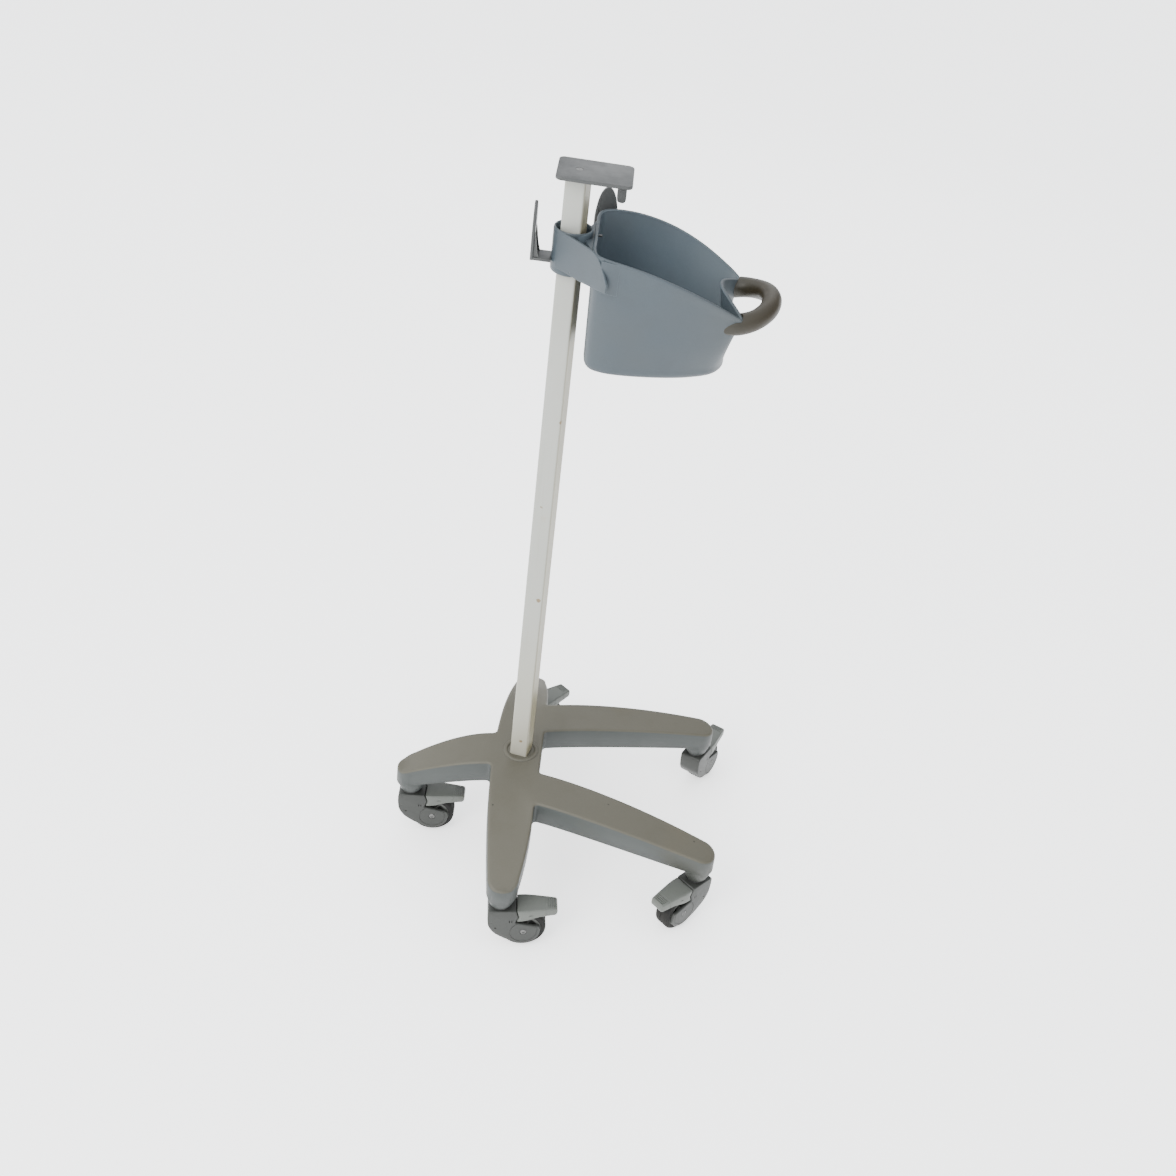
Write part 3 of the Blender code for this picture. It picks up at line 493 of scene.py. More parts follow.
def turned(profile, sides, place=None, bm=None, closed=True):
    """A profile of (radius, z) points turned about Z. An open one starts and ends at radius 0."""
    bm = bm or bmesh.new()
    place = place or Matrix.Identity(4)
    rings = []
    for r, z in profile:
        if r == 0:
            rings.append([bm.verts.new(place @ Vector((0, 0, z)))])
        else:
            turns = [math.tau * s / sides for s in range(sides)]
            rings.append([bm.verts.new(place @ Vector((r * math.cos(a), r * math.sin(a), z)))
                          for a in turns])
    pairs = list(zip(rings, rings[1:]))
    if closed:
        pairs.append((rings[-1], rings[0]))
    for here, there in pairs:
        for s in range(sides):
            t = (s + 1) % sides
            corners = [here[s % len(here)], here[t % len(here)],
                       there[t % len(there)], there[s % len(there)]]
            corners = [v for k, v in enumerate(corners) if v not in corners[:k]]
            if len(corners) > 2:
                bm.faces.new(corners)
    return bm


def rod(radius, low, high, sides, place, bm=None):
    profile = [(0.0, low), (radius, low), (radius, high), (0.0, high)]
    return turned(profile, sides, place, bm, closed=False)


def box(low, high):
    outline = [(low[0], low[1]), (high[0], low[1]), (high[0], high[1]), (low[0], high[1])]
    return prism(outline, low[2], high[2], "Z")


def quadratic(p, q, r, steps):
    """Points of a quadratic curve from p, drawn towards q, up to but not at r."""
    out = []
    for i in range(steps):
        t = i / steps
        out.append(p * (1 - t) ** 2 + q * 2 * t * (1 - t) + r * t * t)
    return out


def smooth_through(points, per_span):
    """A smooth curve through the points, with per_span steps between each two."""
    pts = [Vector(p) for p in points]
    pts = [pts[0] * 2 - pts[1]] + pts + [pts[-1] * 2 - pts[-2]]
    out = []
    for i in range(1, len(pts) - 2):
        a, b, c, d = pts[i - 1:i + 3]
        for k in range(per_span):
            t = k / per_span
            out.append(0.5 * ((2 * b) + (c - a) * t + (2 * a - 5 * b + 4 * c - d) * t * t
                              + (3 * b - a - 3 * c + d) * t ** 3))
    out.append(pts[-2])
    return out


def inset(points, distance):
    """A closed outline of Vectors moved to its left by a distance."""
    out = []
    for i, here in enumerate(points):
        before, after = points[i - 1], points[(i + 1) % len(points)]
        a, b = (here - before).normalized(), (after - here).normalized()
        na, nb = Vector((-a.y, a.x)), Vector((-b.y, b.x))
        mitre = (na + nb).normalized()
        out.append(here + mitre * distance / max(0.5, mitre.dot(na)))
    return out


def arc(centre, radius, start, end, steps):
    """Points of a circle from a start to an end angle in degrees."""
    turns = [math.radians(start + (end - start) * k / steps) for k in range(steps + 1)]
    return [(centre[0] + radius * math.cos(a), centre[1] + radius * math.sin(a)) for a in turns]


def tube(points, radii, sides):
    """A closed round tube along 3-D points, its radius given at each point."""
    bm = bmesh.new()
    turns = [math.tau * s / sides for s in range(sides)]
    rings = []
    for i, here in enumerate(points):
        along = (points[min(len(points) - 1, i + 1)] - points[max(0, i - 1)]).normalized()
        side = along.cross(Vector((0, 0, 1))).normalized()
        up = side.cross(along)
        rings.append([bm.verts.new(here + (side * math.cos(a) + up * math.sin(a)) * radii[i])
                      for a in turns])
    for a, b in zip(rings, rings[1:]):
        for s in range(sides):
            t = (s + 1) % sides
            bm.faces.new((a[s], a[t], b[t], b[s]))
    bm.faces.new(rings[0][::-1])
    bm.faces.new(rings[-1])
    return bm


def sheet(grid, thickness, name):
    """A grid of points made into a closed slab, with the thickness along the grid's normals."""
    rows, columns = len(grid), len(grid[0])
    back = []
    for i in range(rows):
        line = []
        for j in range(columns):
            du = grid[min(rows - 1, i + 1)][j] - grid[max(0, i - 1)][j]
            dv = grid[i][min(columns - 1, j + 1)] - grid[i][max(0, j - 1)]
            line.append(grid[i][j] + du.cross(dv).normalized() * thickness)
        back.append(line)
    bm = bmesh.new()
    front = [[bm.verts.new(p) for p in line] for line in grid]
    rear = [[bm.verts.new(p) for p in line] for line in back]
    for i in range(rows - 1):
        for j in range(columns - 1):
            bm.faces.new((front[i][j], front[i][j + 1], front[i + 1][j + 1], front[i + 1][j]))
            bm.faces.new((rear[i][j], rear[i + 1][j], rear[i + 1][j + 1], rear[i][j + 1]))
    rim = ([(0, j) for j in range(columns)] + [(i, columns - 1) for i in range(1, rows)]
           + [(rows - 1, j) for j in range(columns - 2, -1, -1)]
           + [(i, 0) for i in range(rows - 2, 0, -1)])
    for (a, b), (c, d) in zip(rim, rim[1:] + rim[:1]):
        bm.faces.new((front[a][b], rear[a][b], rear[c][d], front[c][d]))
    return to_object(name, bm)


# ---------------------------------------------------------------- base

# The corners between leg i and the next leg, in plan from the pole.
FORKS = [[(-0.0465, -0.040)], [(0.035, -0.126)], [(0.036, -0.052), (0.036, 0.052)],
         [(0.035, 0.126)], [(-0.0465, 0.040)]]
TIP_HALF, BULGE, FORK_ROUND = 0.0255, 0.006, 0.007
HUB_TOP, HUB_UNDER, TIP_TOP, TIP_UNDER = 0.193, 0.151, 0.145, 0.111
SHELL, EDGE, SKIRT = 0.006, 0.0044, 0.0012
HOLLOW_SHORT, PAST_TIP, HUB_FLAT, HUB_BLEND = 0.052, 1.12, 0.036, 0.03
TOP_CURVE, UNDER_CURVE = 1.6, 1.4
TOP_SPACING, ROOF_SPACING = 0.009, 0.018
PLAN_TIPS = [Vector((TIPS[leg].x, TIPS[leg].y)) for leg in LEGS]


def leg_root(i):
    """The corners on both sides of leg i and the point between them."""
    before, after = Vector(FORKS[i - 1][-1]), Vector(FORKS[i][0])
    return before, after, (before + after) / 2


def base_outline(shorten=0.0):
    """The base in plan, with its legs shortened by a length."""
    outline = []
    for i, tip in enumerate(PLAN_TIPS):
        before, after, root = leg_root(i)
        along = (tip - root).normalized()
        side = Vector((along.y, -along.x))
        tip = tip - along * shorten
        first, last = tip + side * TIP_HALF, tip - side * TIP_HALF
        near_first = before + (first - before).normalized() * FORK_ROUND
        near_last = after + (last - after).normalized() * FORK_ROUND
        outline += quadratic(near_first, (near_first + first) / 2 + side * BULGE, first, 18)
        for k in range(33):
            turn = -math.pi / 2 + math.pi * k / 32
            outline.append(tip + (along * math.cos(turn) - side * math.sin(turn)) * TIP_HALF)
        outline += quadratic(last, (near_last + last) / 2 - side * BULGE, near_last, 18)[1:]
        corners = [Vector(c) for c in FORKS[i]]
        _, _, next_root = leg_root((i + 1) % 5)
        next_tip = PLAN_TIPS[(i + 1) % 5]
        next_along = (next_tip - next_root).normalized()
        beyond = next_tip - next_along * shorten + Vector((next_along.y, -next_along.x)) * TIP_HALF
        start = near_last
        for k, corner in enumerate(corners):
            onward = corners[k + 1] if k + 1 < len(corners) else beyond
            end = corner + (onward - corner).normalized() * FORK_ROUND
            outline += quadratic(start, corner, end, 9)
            if k + 1 < len(corners):
                start = onward + (corner - onward).normalized() * FORK_ROUND
                outline += [end.lerp(start, t / 6) for t in range(6)]
    return outline


def leg_fall(x, y):
    """How far along the legs a point is: 0 at the hub and 1 at a tip."""
    here = Vector((x, y))
    total, weights = 0.0, 0.0
    for i, tip in enumerate(PLAN_TIPS):
        root = leg_root(i)[2]
        axis = tip - root
        s = (here - root).dot(axis) / axis.length_squared
        away = (here - (root + axis * min(1.0, max(0.0, s)))).length
        weight = 1.0 / (away ** 2 + 1e-5) ** 2
        total += weight * max(0.0, min(PAST_TIP, s))
        weights += weight
    return total / weights * min(1.0, max(0.0, (here.length - HUB_FLAT) / HUB_BLEND))


def drape(x, y, level):
    """The height of the top skin at level 1, or of the lower edge at level 0."""
    s = leg_fall(x, y)
    top = HUB_TOP - (HUB_TOP - TIP_TOP) * s ** TOP_CURVE
    under = HUB_UNDER - (HUB_UNDER - TIP_UNDER) * s ** UNDER_CURVE
    return top if level else under


def cap_grid(bm, face, spacing):
    """Cuts a flat cap into a fine grid."""
    geometry = [face] + list(face.edges) + list(face.verts)
    for axis, low, high in ((0, -0.22, 0.36), (1, -0.28, 0.28)):
        normal = Vector((1, 0, 0)) if axis == 0 else Vector((0, 1, 0))
        for k in range(int((high - low) / spacing) + 1):
            spot = normal * (low + k * spacing + 0.0007)
            geometry = bmesh.ops.bisect_plane(bm, geom=geometry, plane_co=spot, plane_no=normal,
                                              dist=1e-6)["geom"]


def make_base():
    outline, hollow = base_outline(), inset(base_outline(HOLLOW_SHORT), SHELL)
    bends = [math.radians(15 * k) for k in range(7)]
    # Each layer is an outline, how far in it lies, its level for drape() and its lift from that.
    layers = [(outline, SKIRT, 0, 0.0), (outline, 0.0, 0, SKIRT), (outline, 0.0, 1, -EDGE - 0.006)]
    layers += [(outline, EDGE * (1 - math.cos(a)), 1, EDGE * (math.sin(a) - 1)) for a in bends]
    inner = [(hollow, 0.0, 0, 0.0), (hollow, 0.0, 1, -SHELL)]
    bm = bmesh.new()
    made = {}
    for group, kind in ((layers, "out"), (inner, "in")):
        made[kind] = []
        for points, away, level, lift in group:
            ring = inset(points, away) if away else points
            made[kind].append([(bm.verts.new((p.x, p.y, 0.0)), level, lift) for p in ring])
    chain = made["in"][::-1] + made["out"]
    lifts = {v: (level, lift) for ring in chain for v, level, lift in ring}
    rings = [[v for v, _, _ in ring] for ring in chain]
    for low, high in zip(rings, rings[1:]):
        for i in range(len(low)):
            j = (i + 1) % len(low)
            bm.faces.new((low[i], low[j], high[j], high[i]))
    roof, top = bm.faces.new(rings[0][::-1]), bm.faces.new(rings[-1])
    before = set(bm.verts)
    cap_grid(bm, top, TOP_SPACING)
    top_verts = set(bm.verts) - before
    before = set(bm.verts)
    cap_grid(bm, roof, ROOF_SPACING)
    roof_verts = set(bm.verts) - before
    for v in bm.verts:
        if v in lifts:
            level, lift = lifts[v]
        else:
            level, lift = 1, (-SHELL if v in roof_verts and v not in top_verts else 0.0)
        v.co.z = drape(v.co.x, v.co.y, level) + lift
    bmesh.ops.triangulate(bm, faces=[f for f in bm.faces if len(f.verts) > 4])
    bmesh.ops.translate(bm, verts=bm.verts, vec=POLE)
    shell = to_object("base_cover", bm, 50.0)
    piece(shell, "stand", BASE, ["base_shell"])

    bm = bmesh.new()
    for tip in TIPS.values():
        boss = [(0.0068, 0.122), (0.0246, 0.122), (0.0250, 0.1135), (0.0243, 0.107),
                (0.0226, 0.100), (0.0205, 0.0945), (0.0190, 0.0900), (0.0178, 0.0892),
                (0.0068, 0.0892)]
        turned(boss, 56, Matrix.Translation((POLE.x + tip.x, POLE.y + tip.y, 0)), bm)
    socket = [(0.0050, 0.1525), (0.0310, 0.1525), (0.0322, 0.1545), (0.0322, 0.188),
              (0.0050, 0.188)]
    turned(socket, 56, Matrix.Translation(POLE), bm)
    piece(to_object("base_bosses", bm), "stand", BASE)

    ring = [(0.0226, 0.1930), (0.0302, 0.1926), (0.0300, 0.1936), (0.0292, 0.1945),
            (0.0275, 0.1952), (0.0252, 0.1953), (0.0236, 0.1948), (0.0228, 0.1940)]
    skirt = to_object("foot_ring_cover", turned(ring, 72, Matrix.Translation(POLE)), 60.0)
    piece(skirt, "stand", BASE, ["pole_foot_ring"])


make_base()


# ---------------------------------------------------------------- casters

# In a caster's side view x runs from the stem along the trail and z up from the floor.
TRAIL, WHEEL = 0.039, 0.0365
HUB = (TRAIL, WHEEL)
HALF = 0.0200
CROWN = 0.084
SEAM = [(0.0245, CROWN), (0.0288, 0.070), (0.0245, 0.0565)]
HOUSING_DISC, HOUSING_BAY, PEDAL_BAY, BAY_HALF = 0.0268, 0.0386, 0.0418, 0.0152
TYRE_HALF, AXLE_RADIUS, WELL_DEPTH = 0.0140, 0.0040, 0.0011
PEDAL_WAIST, PEDAL_END, PEDAL_END_HALF = 0.040, 0.102, 0.0119


def across(place_x, place_z):
    """Turns a shape made about Z to lie along Y through a point of the side view."""
    return Matrix.Translation((place_x, 0, place_z)) @ Matrix.Rotation(math.pi / 2, 4, "X")


def housing_mesh():
    back = smooth_through([(-0.0165, CROWN), (-0.0200, 0.081), (-0.0206, 0.072),
                           (-0.0199, 0.061), (-0.0176, 0.049), (-0.0090, 0.0350),
                           (0.0040, 0.0245), (0.0150, 0.0180)], 5)
    outline = [tuple(p) for p in back] + arc(HUB, HOUSING_DISC, 236, 386, 38)
    outline += [(0.0540, 0.0492), (0.0310, 0.0552)] + SEAM[::-1]
    body = rounded(to_object("housing", prism(outline, -HALF, HALF)), 0.0034, 4, 50)
    settle(body)
    bay = rod(HOUSING_BAY, -BAY_HALF, BAY_HALF, 56, across(*HUB))
    tools = [to_object("bay", bay)]
    ring = [(0.0212, -0.0009), (0.0221, -0.0009), (0.0221, 0.0009), (0.0212, 0.0009)]
    notches = (((0.0145, 0.0585), (0.0160, 0.0640)), ((0.0185, 0.0585), (0.0198, 0.0640)),
               ((-0.0080, 0.0455), (-0.0045, 0.0475)))
    for side in (-1, 1):
        face = side * HALF
        on_face = Matrix.Translation((0, face, 0)) @ across(*HUB)
        tools.append(to_object("groove", turned(ring, 64, on_face)))
        tools.append(to_object("well", rod(0.0058, -WELL_DEPTH, WELL_DEPTH, 32, on_face)))
        near, far = min(face, face * 0.93), max(face, face * 0.93) + 0.001
        for low, high in notches:
            notch = box((low[0], near, low[1]), (high[0], far, high[1]))
            tools.append(to_object("notch", notch))
    cut(body, *tools)
    return body


def pedal_mesh():
    nose = smooth_through([(0.088, 0.0825), (0.0905, 0.0812), (0.0918, 0.0775),
                           (0.0920, 0.0725), (0.0908, 0.0690), (0.0885, 0.0672)], 3)
    seam = [(x + 0.0010, z) for x, z in SEAM]
    outline = [(seam[0][0], CROWN - 0.0008), seam[1], (0.0262, 0.0590), (0.034, 0.0598),
               (0.044, 0.0612), (0.054, 0.0640), (0.064, 0.0662), (0.078, 0.0668)]
    outline += [tuple(p) for p in nose[::-1]] + [(0.0740, 0.0832), (0.0550, 0.0838)]
    body = to_object("pedal", prism(outline, -HALF, HALF))
    tapers = []
    for side in (-1, 1):
        outer = side * 0.0330
        plan = [(PEDAL_WAIST, side * HALF), (PEDAL_END, side * PEDAL_END_HALF),
                (PEDAL_END, outer), (PEDAL_WAIST, outer)]
        tapers.append(to_object("taper", prism(plan, 0.0, 0.12, "Z")))
    cut(body, *tapers)
    settle(rounded(body, 0.0030, 4, 50))
    bay = rod(PEDAL_BAY, -BAY_HALF + 0.0001, BAY_HALF - 0.0001, 56, across(*HUB))
    tools = [to_object("bay", bay)]
    for side in (-1, 1):
        low, high = sorted((side * 0.0300, side * 0.0178))
        tools.append(to_object("mark", box((0.0460, low, 0.0720), (0.0520, high, 0.0736))))
        low, high = sorted((side * 0.0300, side * 0.0146))
        tools.append(to_object("line", box((0.0730, low, 0.050), (0.0738, high, 0.090))))
    tools.append(to_object("step", box((0.0730, -0.03, 0.0828), (0.0738, 0.03, 0.090))))
    for k in range(4):
        x = 0.0762 + 0.0034 * k
        groove = box((x, -0.0104, 0.0816 - 0.0003 * k), (x + 0.0015, 0.0104, 0.090))
        tools.append(to_object("rib", groove))
    cut(body, *tools)
    return body


def wheel_meshes():
    lay = across(*HUB)
    half_tyre = [(0.0282, TYRE_HALF), (0.0325, TYRE_HALF), (0.0349, TYRE_HALF - 0.0010),
                 (0.0361, TYRE_HALF - 0.0028), (WHEEL, TYRE_HALF - 0.0060), (WHEEL, 0.0022),
                 (0.0354, 0.0016)]
    half_rim = [(0.0044, 0.0135), (0.0095, 0.0135), (0.0100, 0.0127), (0.0100, 0.0050),
                (0.0225, 0.0050), (0.0238, 0.0132), (0.0279, 0.0137)]
    tyre, rim = ([(r, -z) for r, z in half] + half[::-1] for half in (half_tyre, half_rim))
    spokes = turned(rim, 64, lay)
    for k in range(6):
        rib = box((0.0095, -0.0011, -0.0105), (0.0236, 0.0011, 0.0105))
        turn = lay @ Matrix.Rotation(math.radians(60 * k), 4, "Z")
        bmesh.ops.transform(rib, matrix=turn, verts=rib.verts)
        mesh = bpy.data.meshes.new("spoke")
        rib.to_mesh(mesh)
        spokes.from_mesh(mesh)
        rib.free()
        bpy.data.meshes.remove(mesh)
    return to_object("tyre", turned(tyre, 96, lay), 35.0), to_object("rim", spokes, 35.0)


def axle_mesh():
    bm = bmesh.new()
    rod(AXLE_RADIUS, -0.0190, 0.0190, 32, across(*HUB), bm)
    head = [(0.0, 0.0), (0.0049, 0.0), (0.0049, 0.0009), (0.0044, 0.0015), (0.0036, 0.0019),
            (0.0024, 0.0019), (0.0021, 0.0009), (0.0, 0.0009)]
    for side in (-1, 1):
        face = Matrix.Translation((0, side * (HALF - WELL_DEPTH), 0)) @ across(*HUB)
        if side > 0:
            face = face @ Matrix.Rotation(math.pi, 4, "X")
        turned(head, 36, face, bm, closed=False)
    return to_object("axle", bm)


def make_casters():
    housing, pedal, axle = housing_mesh(), pedal_mesh(), axle_mesh()
    tyre, rim = wheel_meshes()
    race_profile = [(0.0068, 0.0845), (0.0158, 0.0845), (0.0166, 0.0852), (0.0162, 0.0866),
                    (0.0166, 0.0880), (0.0158, 0.0887), (0.0068, 0.0887)]
    race = to_object("race", turned(race_profile, 56))
    kinds = ((housing, "housing", "caster_{}", HOUSING_SHADED, "caster_plastic"),
             (pedal, "brake_pedal", "pedal_body_{}", PEDAL_LIGHTENED, "caster_plastic"),
             (axle, "axle", "caster_{}", STEEL, "steel"),
             (tyre, "tyre", "wheel_body_{}", TYRE, "tyre"),
             (rim, "wheel", "wheel_body_{}", RIM, "rim_plastic"),
             (race, "swivel_race", "caster_{}", DARK, "liner_plastic"))
    for leg, tip in TIPS.items():
        turn = math.atan2(TRAILS[leg].y, TRAILS[leg].x)
        place = (Matrix.Translation((POLE.x + tip.x, POLE.y + tip.y, 0))
                 @ Matrix.Rotation(turn, 4, "Z"))
        for source, node, body, look, slot in kinds:
            obj = bpy.data.objects.new(f"{node}_cover_{leg}", source.data)
            obj.matrix_world = place
            bpy.context.scene.collection.objects.link(obj)
            piece(obj, body.format(leg), look, [f"{node}_{leg}"])
    for source, *_ in kinds:
        bpy.data.objects.remove(source, do_unlink=True)


make_casters()


# ---------------------------------------------------------------- basket

# The far halves of the rim and the floor, in plan from the pole. The front is hollowed.
FLOOR, WALL = 0.980, 0.0030
RIM_HALF = [(0.031, 0), (0.031, 0.030), (0.031, 0.060), (0.035, 0.080), (0.047, 0.092),
            (0.070, 0.100), (0.103, 0.105), (0.144, 0.106), (0.185, 0.100), (0.222, 0.088),
            (0.240, 0.080), (0.247, 0.071), (0.243, 0.058), (0.230, 0.036), (0.220, 0.016),
            (0.217, 0)]
FLOOR_HALF = [(0.033, 0), (0.033, 0.026), (0.033, 0.050), (0.036, 0.067), (0.046, 0.077),
              (0.068, 0.083), (0.100, 0.082), (0.138, 0.076), (0.172, 0.067), (0.198, 0.056),
              (0.215, 0.046), (0.225, 0.036), (0.231, 0.026), (0.234, 0.017), (0.235, 0.008),
              (0.235, 0)]
FLOOR_ROUND, WALL_LEVELS = 0.014, 14
RIM_TOP, RIM_DROP, RIM_FALL_START, RIM_FALL_RUN = 1.163, 0.068, 0.041, 0.203
LIP_ROUND, LIP_PROUD, BEAD = 0.0016, 0.0009, 0.0030
HANDLE_RADIUS, HANDLE_FLARE = 0.0146, 0.0026
HANDLE_HALF = [(0.224, 0.0600, 1.0785), (0.240, 0.0640, 1.0800), (0.256, 0.0610, 1.0835),
               (0.270, 0.0520, 1.0875), (0.282, 0.0370, 1.0920), (0.2885, 0.0200, 1.0950),
               (0.291, 0.0, 1.0960)]
PER_SPAN = 7


def whole(half):
    """A closed outline from its far half, starting at the middle of the back."""
    side = smooth_through(half, PER_SPAN)
    return [Vector((p.x, -p.y)) for p in side] + [Vector((p.x, p.y)) for p in side[-2:0:-1]]


def rim_height(x):
    """The rim is level at the back and falls towards the front."""
    return RIM_TOP - RIM_DROP * max(0.0, (x - RIM_FALL_START) / RIM_FALL_RUN) ** 2


RIM_RING, FLOOR_RING = whole(RIM_HALF), whole(FLOOR_HALF)


def basket_surface(away, up=0.0):
    """Rings of a skin a distance inside the outer face, from the floor to the rim moved by up."""
    rim, floor = inset(RIM_RING, away), inset(FLOOR_RING, away)
    bottom = FLOOR + away
    radius = FLOOR_ROUND - away * 0.5
    rings = []
    for k in range(7):
        a = math.radians(15 * k)
        ring = inset(floor, radius * (1 - math.sin(a)))
        rings.append([Vector((p.x, p.y, bottom + radius * (1 - math.cos(a)))) for p in ring])
    start = rings[-1]
    for k in range(1, WALL_LEVELS + 1):
        s = k / WALL_LEVELS
        rings.append([Vector((p.x + (q.x - p.x) * s, p.y + (q.y - p.y) * s,
                              p.z + (rim_height(r.x) + up - p.z) * s))
                      for p, q, r in zip(start, rim, RIM_RING)])
    return rings


def loft(rings):
    """A closed skin over the rings, moved from the pole's axis to its place."""
    bm = bmesh.new()
    made = [[bm.verts.new(p) for p in ring] for ring in rings]
    for low, high in zip(made, made[1:]):
        for i in range(len(low)):
            j = (i + 1) % len(low)
            bm.faces.new((low[i], low[j], high[j], high[i]))
    bm.faces.new(made[0][::-1])
    bm.faces.new(made[-1])
    bmesh.ops.triangulate(bm, faces=[f for f in bm.faces if len(f.verts) > 4])
    bmesh.ops.translate(bm, verts=bm.verts, vec=POLE)
    return bm


def make_basket():
    outside, inside = basket_surface(0.0, -LIP_ROUND), basket_surface(WALL, -LIP_ROUND)
    lip = []
    for k in range(9):
        a = math.pi * k / 8
        ring = inset(RIM_RING, WALL / 2 - (WALL / 2 + LIP_PROUD) * math.cos(a))
        lip.append([Vector((p.x, p.y, rim_height(q.x) - LIP_ROUND + LIP_ROUND * math.sin(a)))
                    for p, q in zip(ring, RIM_RING)])
    bead = [Vector((p.x, p.y, p.z - BEAD)) for p in lip[0]]
    shell = to_object("basket_cover", loft(outside[:-1] + [bead] + lip + inside[::-1]), 62.0)
    piece(shell, "basket", BASKET, ["basket_shell"])

    path = smooth_through(HANDLE_HALF + [(x, -y, z) for x, y, z in HANDLE_HALF[-2::-1]], 8)
    radii = []
    for i in range(len(path)):
        end = min(i, len(path) - 1 - i) / (len(path) / 2)
        radii.append(HANDLE_RADIUS + HANDLE_FLARE * max(0.0, 1 - end / 0.55) ** 1.6)
    handle = to_object("handle_cover", tube([POLE + p for p in path], radii, 36), 60.0)
    # The handle's ends are cut off at the wall, by the basket's shape carried on above the rim.
    skin = basket_surface(-0.0003)
    envelope = loft(skin + [[p + Vector((0, 0, 0.05)) for p in skin[-1]]])
    cut(handle, to_object("envelope", envelope))
    piece(handle, "basket", HANDLE, ["basket_handle"])


make_basket()


# ---------------------------------------------------------------- collar

CHEEK_START, CHEEK_END = Vector((-0.0215, -0.0178, 0.0)), Vector((0.0530, -0.1068, 0.0))
CHEEK_TOP, CHEEK_UNDER, CHEEK_THICK = 1.1645, 1.1085, 0.0032
PAD_THICK, PAD_PROUD, WEB_LOW, WEB_HIGH = 0.0035, 0.0058, 1.1120, 1.1560


def cheek():
    """The flared cheek, from the collar's ring along its tangent to the basket's near corner."""
    start, end = CHEEK_START, CHEEK_END
    away = Vector((end.y - start.y, start.x - end.x, 0.0)).normalized()
    grid = []
    count = 40
    for i in range(count + 1):
        t = i / count
        top = CHEEK_TOP - 0.0330 * max(0.0, (t - 0.66) / 0.34) ** 2.2
        under = (CHEEK_UNDER + 0.0015 * math.sin(math.pi * t)
                 + 0.0105 * max(0.0, (t - 0.45) / 0.55) ** 1.3)
        dip = -0.0022 * math.sin(math.pi * min(1.0, t * 1.1))
        foot = POLE + start.lerp(end, t) + away * dip
        grid.append([foot + Vector((0, 0, under + (top - under) * j / 14)) for j in range(15)])
    return rounded(sheet(grid, -CHEEK_THICK, "collar_cheek"), 0.0012, 3, 50)


def collar_pad():
    """The pad on the basket's wall behind the cheek, standing out most at its left edge."""
    columns = [k for k, p in enumerate(RIM_RING) if p.y < -0.05 and 0.045 < p.x < 0.074]
    columns.sort(key=lambda k: RIM_RING[k].x)
    wall, proud = basket_surface(-0.0002), basket_surface(-PAD_PROUD)
    grid = []
    for n, k in enumerate(columns):
        out = (1 - n / (len(columns) - 1)) ** 0.7
        line = []
        for level in range(16, 21):
            spot = wall[level][k].lerp(proud[level][k], out * min(1.0, (level - 15) / 1.5))
            line.append(POLE + spot - Vector((0, 0, 0.002)))
        grid.append(line)
    return sheet(grid, -PAD_THICK, "collar_pad_near")


def make_collar():
    ring = [(0.0241, 1.1010), (0.0247, 1.1002), (0.0268, 1.1002), (0.0276, 1.1014),
            (0.0279, 1.1060), (0.0276, 1.1300), (0.0276, 1.1610), (0.0272, 1.1638),
            (0.0262, 1.1650), (0.0250, 1.1648), (0.0242, 1.1635)]
    collar = to_object("collar_ring", turned(ring, 80, Matrix.Translation(POLE)), 50.0)
    piece(collar, "basket", BASKET, ["basket_collar"])
    piece(settle(cheek(), 50.0), "basket", BASKET)
    piece(collar_pad(), "basket", BASKET)
    web = [(0.018, -0.0205), (0.0300, -0.058), (0.0300, 0.058), (0.018, 0.0205), (0.0270, 0.0)]
    bm = prism(web, WEB_LOW, WEB_HIGH, "Z")
    bmesh.ops.translate(bm, verts=bm.verts, vec=POLE)
    back = settle(rounded(to_object("collar_web", bm), 0.0010, 3, 40))
    piece(back, "basket", BASKET)


make_collar()


# ---------------------------------------------------------------- hooks

BLADE_HALF_WIDTH, BLADE_HALF_THICK, SHOULDER_BELOW_TOP, GUSSET_THICK = 0.017, 0.0022, 0.048, 0.0020


def hook_outline(height):
    half, shoulder = BLADE_HALF_WIDTH, height - SHOULDER_BELOW_TOP
    right = quadratic(Vector((half, shoulder)), Vector((half * 0.80, height - 0.002)),
                      Vector((0.0, height)), 20)
    return ([(-half, 0.0), (half, 0.0)] + [tuple(p) for p in right] + [(0.0, height)]
            + [(-p.x, p.y) for p in right[:0:-1]] + [(-half, shoulder)])


def hook(name, corner, turn, height, reach, root, node):
    """A blade with a pointed arch top, a foot from it back to the collar, and two gussets."""
    place = Matrix.Translation(POLE + Vector(corner)) @ Matrix.Rotation(turn, 4, "Z")
    blade = prism(hook_outline(height), -reach - BLADE_HALF_THICK, -reach + BLADE_HALF_THICK)
    blade = settle(rounded(to_object(name, blade, 38, place), 0.0013, 3, 50))
    piece(blade, "basket", METAL, [node])
    foot = box((-0.0165, -reach - 0.001, 0.0002), (0.0165, root, 0.0046))
    foot = settle(rounded(to_object(name + "_foot", foot, 38, place), 0.0009, 2, 50))
    piece(foot, "basket", METAL)
    web = [(-reach + 0.001, 0.0040), (-reach + 0.001, 0.0480), (-reach + 0.0032, 0.0400),
           (-reach + 0.0062, 0.0180), (-reach + 0.0095, 0.0040)]
    for side, x in (("left", -0.0145), ("right", 0.0125)):
        gusset = prism(web, x, x + GUSSET_THICK, "X")
        gusset = to_object(f"{name}_gusset_{side}", gusset, 38, place)
        piece(gusset, "basket", METAL)


hook("side_hook_cover", (-0.0279, 0.0, 1.113), -math.pi / 2, 0.083, 0.0255, 0.0012, "side_hook")
hook("rear_hook_cover", (0.0415, 0.0920, 1.113), math.pi, 0.075, 0.020, -0.0015, "rear_hook")


# ---------------------------------------------------------------- device mount


PLATE_CORNER, EAR_RADIUS = 0.009, 0.0062


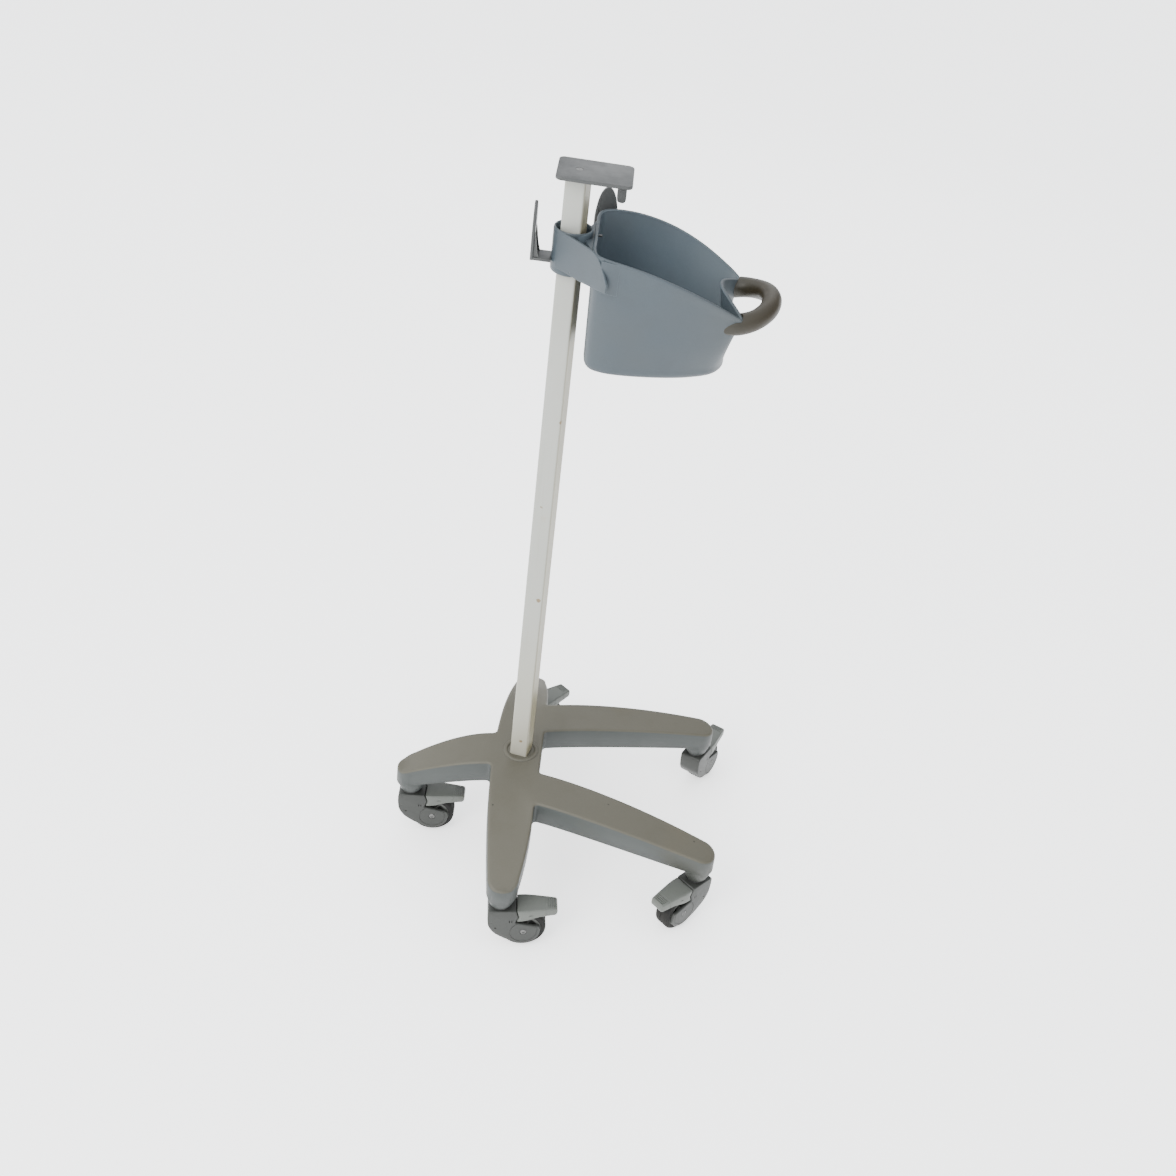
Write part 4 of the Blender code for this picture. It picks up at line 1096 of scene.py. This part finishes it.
def make_mount():
    plate_low, plate_high = (Vector(c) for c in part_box("device_plate"))
    left, right = plate_low.x + PLATE_CORNER, plate_high.x - PLATE_CORNER
    near, far = plate_low.y + PLATE_CORNER, plate_high.y - PLATE_CORNER
    outline = []
    for quarter, corner in enumerate(((right, far), (left, far), (left, near), (right, near))):
        outline += arc(corner, PLATE_CORNER, 90 * quarter, 90 * quarter + 90, 10)
    plate = to_object("plate_cover", prism(outline, plate_low.z, plate_high.z, "Z"))
    settle(rounded(plate, 0.0013, 3))
    well = rod(0.0054, plate_low.z - 0.01, plate_high.z + 0.01, 28, Matrix.Translation(POLE))
    cut(plate, to_object("well", well))
    piece(plate, "stand", METAL, ["device_plate"])

    low, high = (Vector(c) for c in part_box("release_lever"))
    x, pin = middle("lever_pin").x, middle("lever_pin").z
    from_pin = [(-0.0050, 0.0030), (-0.0062, -0.004), (-0.0066, -0.014), (-0.0056, -0.0230),
                (-0.0020, -0.0256), (0.0035, -0.0254), (0.0062, -0.0215), (0.0064, -0.0120),
                (0.0058, -0.003), (0.0036, 0.0038), (-0.0010, 0.0042)]
    side = smooth_through([(x + dx, pin + dz) for dx, dz in from_pin], 4)
    lever = to_object("lever_cover", prism([tuple(p) for p in side], low.y, high.y))
    settle(rounded(lever, 0.0016, 3, 50))
    piece(lever, "lever", METAL, ["release_lever"])
    for label in ("near", "far"):
        low, high = (Vector(c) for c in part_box("lever_ear_" + label))
        outline = [(low.x, high.z)] + arc((x, pin), EAR_RADIUS, 200, 340, 12) + [(high.x, high.z)]
        ear = to_object("lever_ear_cover_" + label, prism(outline, low.y, high.y))
        settle(rounded(ear, 0.0007, 2, 50))
        piece(ear, "stand", METAL, ["lever_ear_" + label])


make_mount()


# ---------------------------------------------------------------- CAD nodes that stay

keep("pole", PAINT)
keep("collar_liner", DARK)
keep("pole_top_plug", METAL)
FASTENERS = ["base_bolt", "pole_foot_plug", "plate_screw", "lever_pin", "basket_screw_near",
             "basket_screw_far"]
for node in FASTENERS + ["stem_" + leg for leg in LEGS]:
    keep(node, STEEL)


# ---------------------------------------------------------------- floor

floor_mesh = bmesh.new()
bmesh.ops.create_grid(floor_mesh, x_segments=60, y_segments=60, size=40.0)
floor = to_object("floor", floor_mesh)
floor.data.materials.append(floor_look())
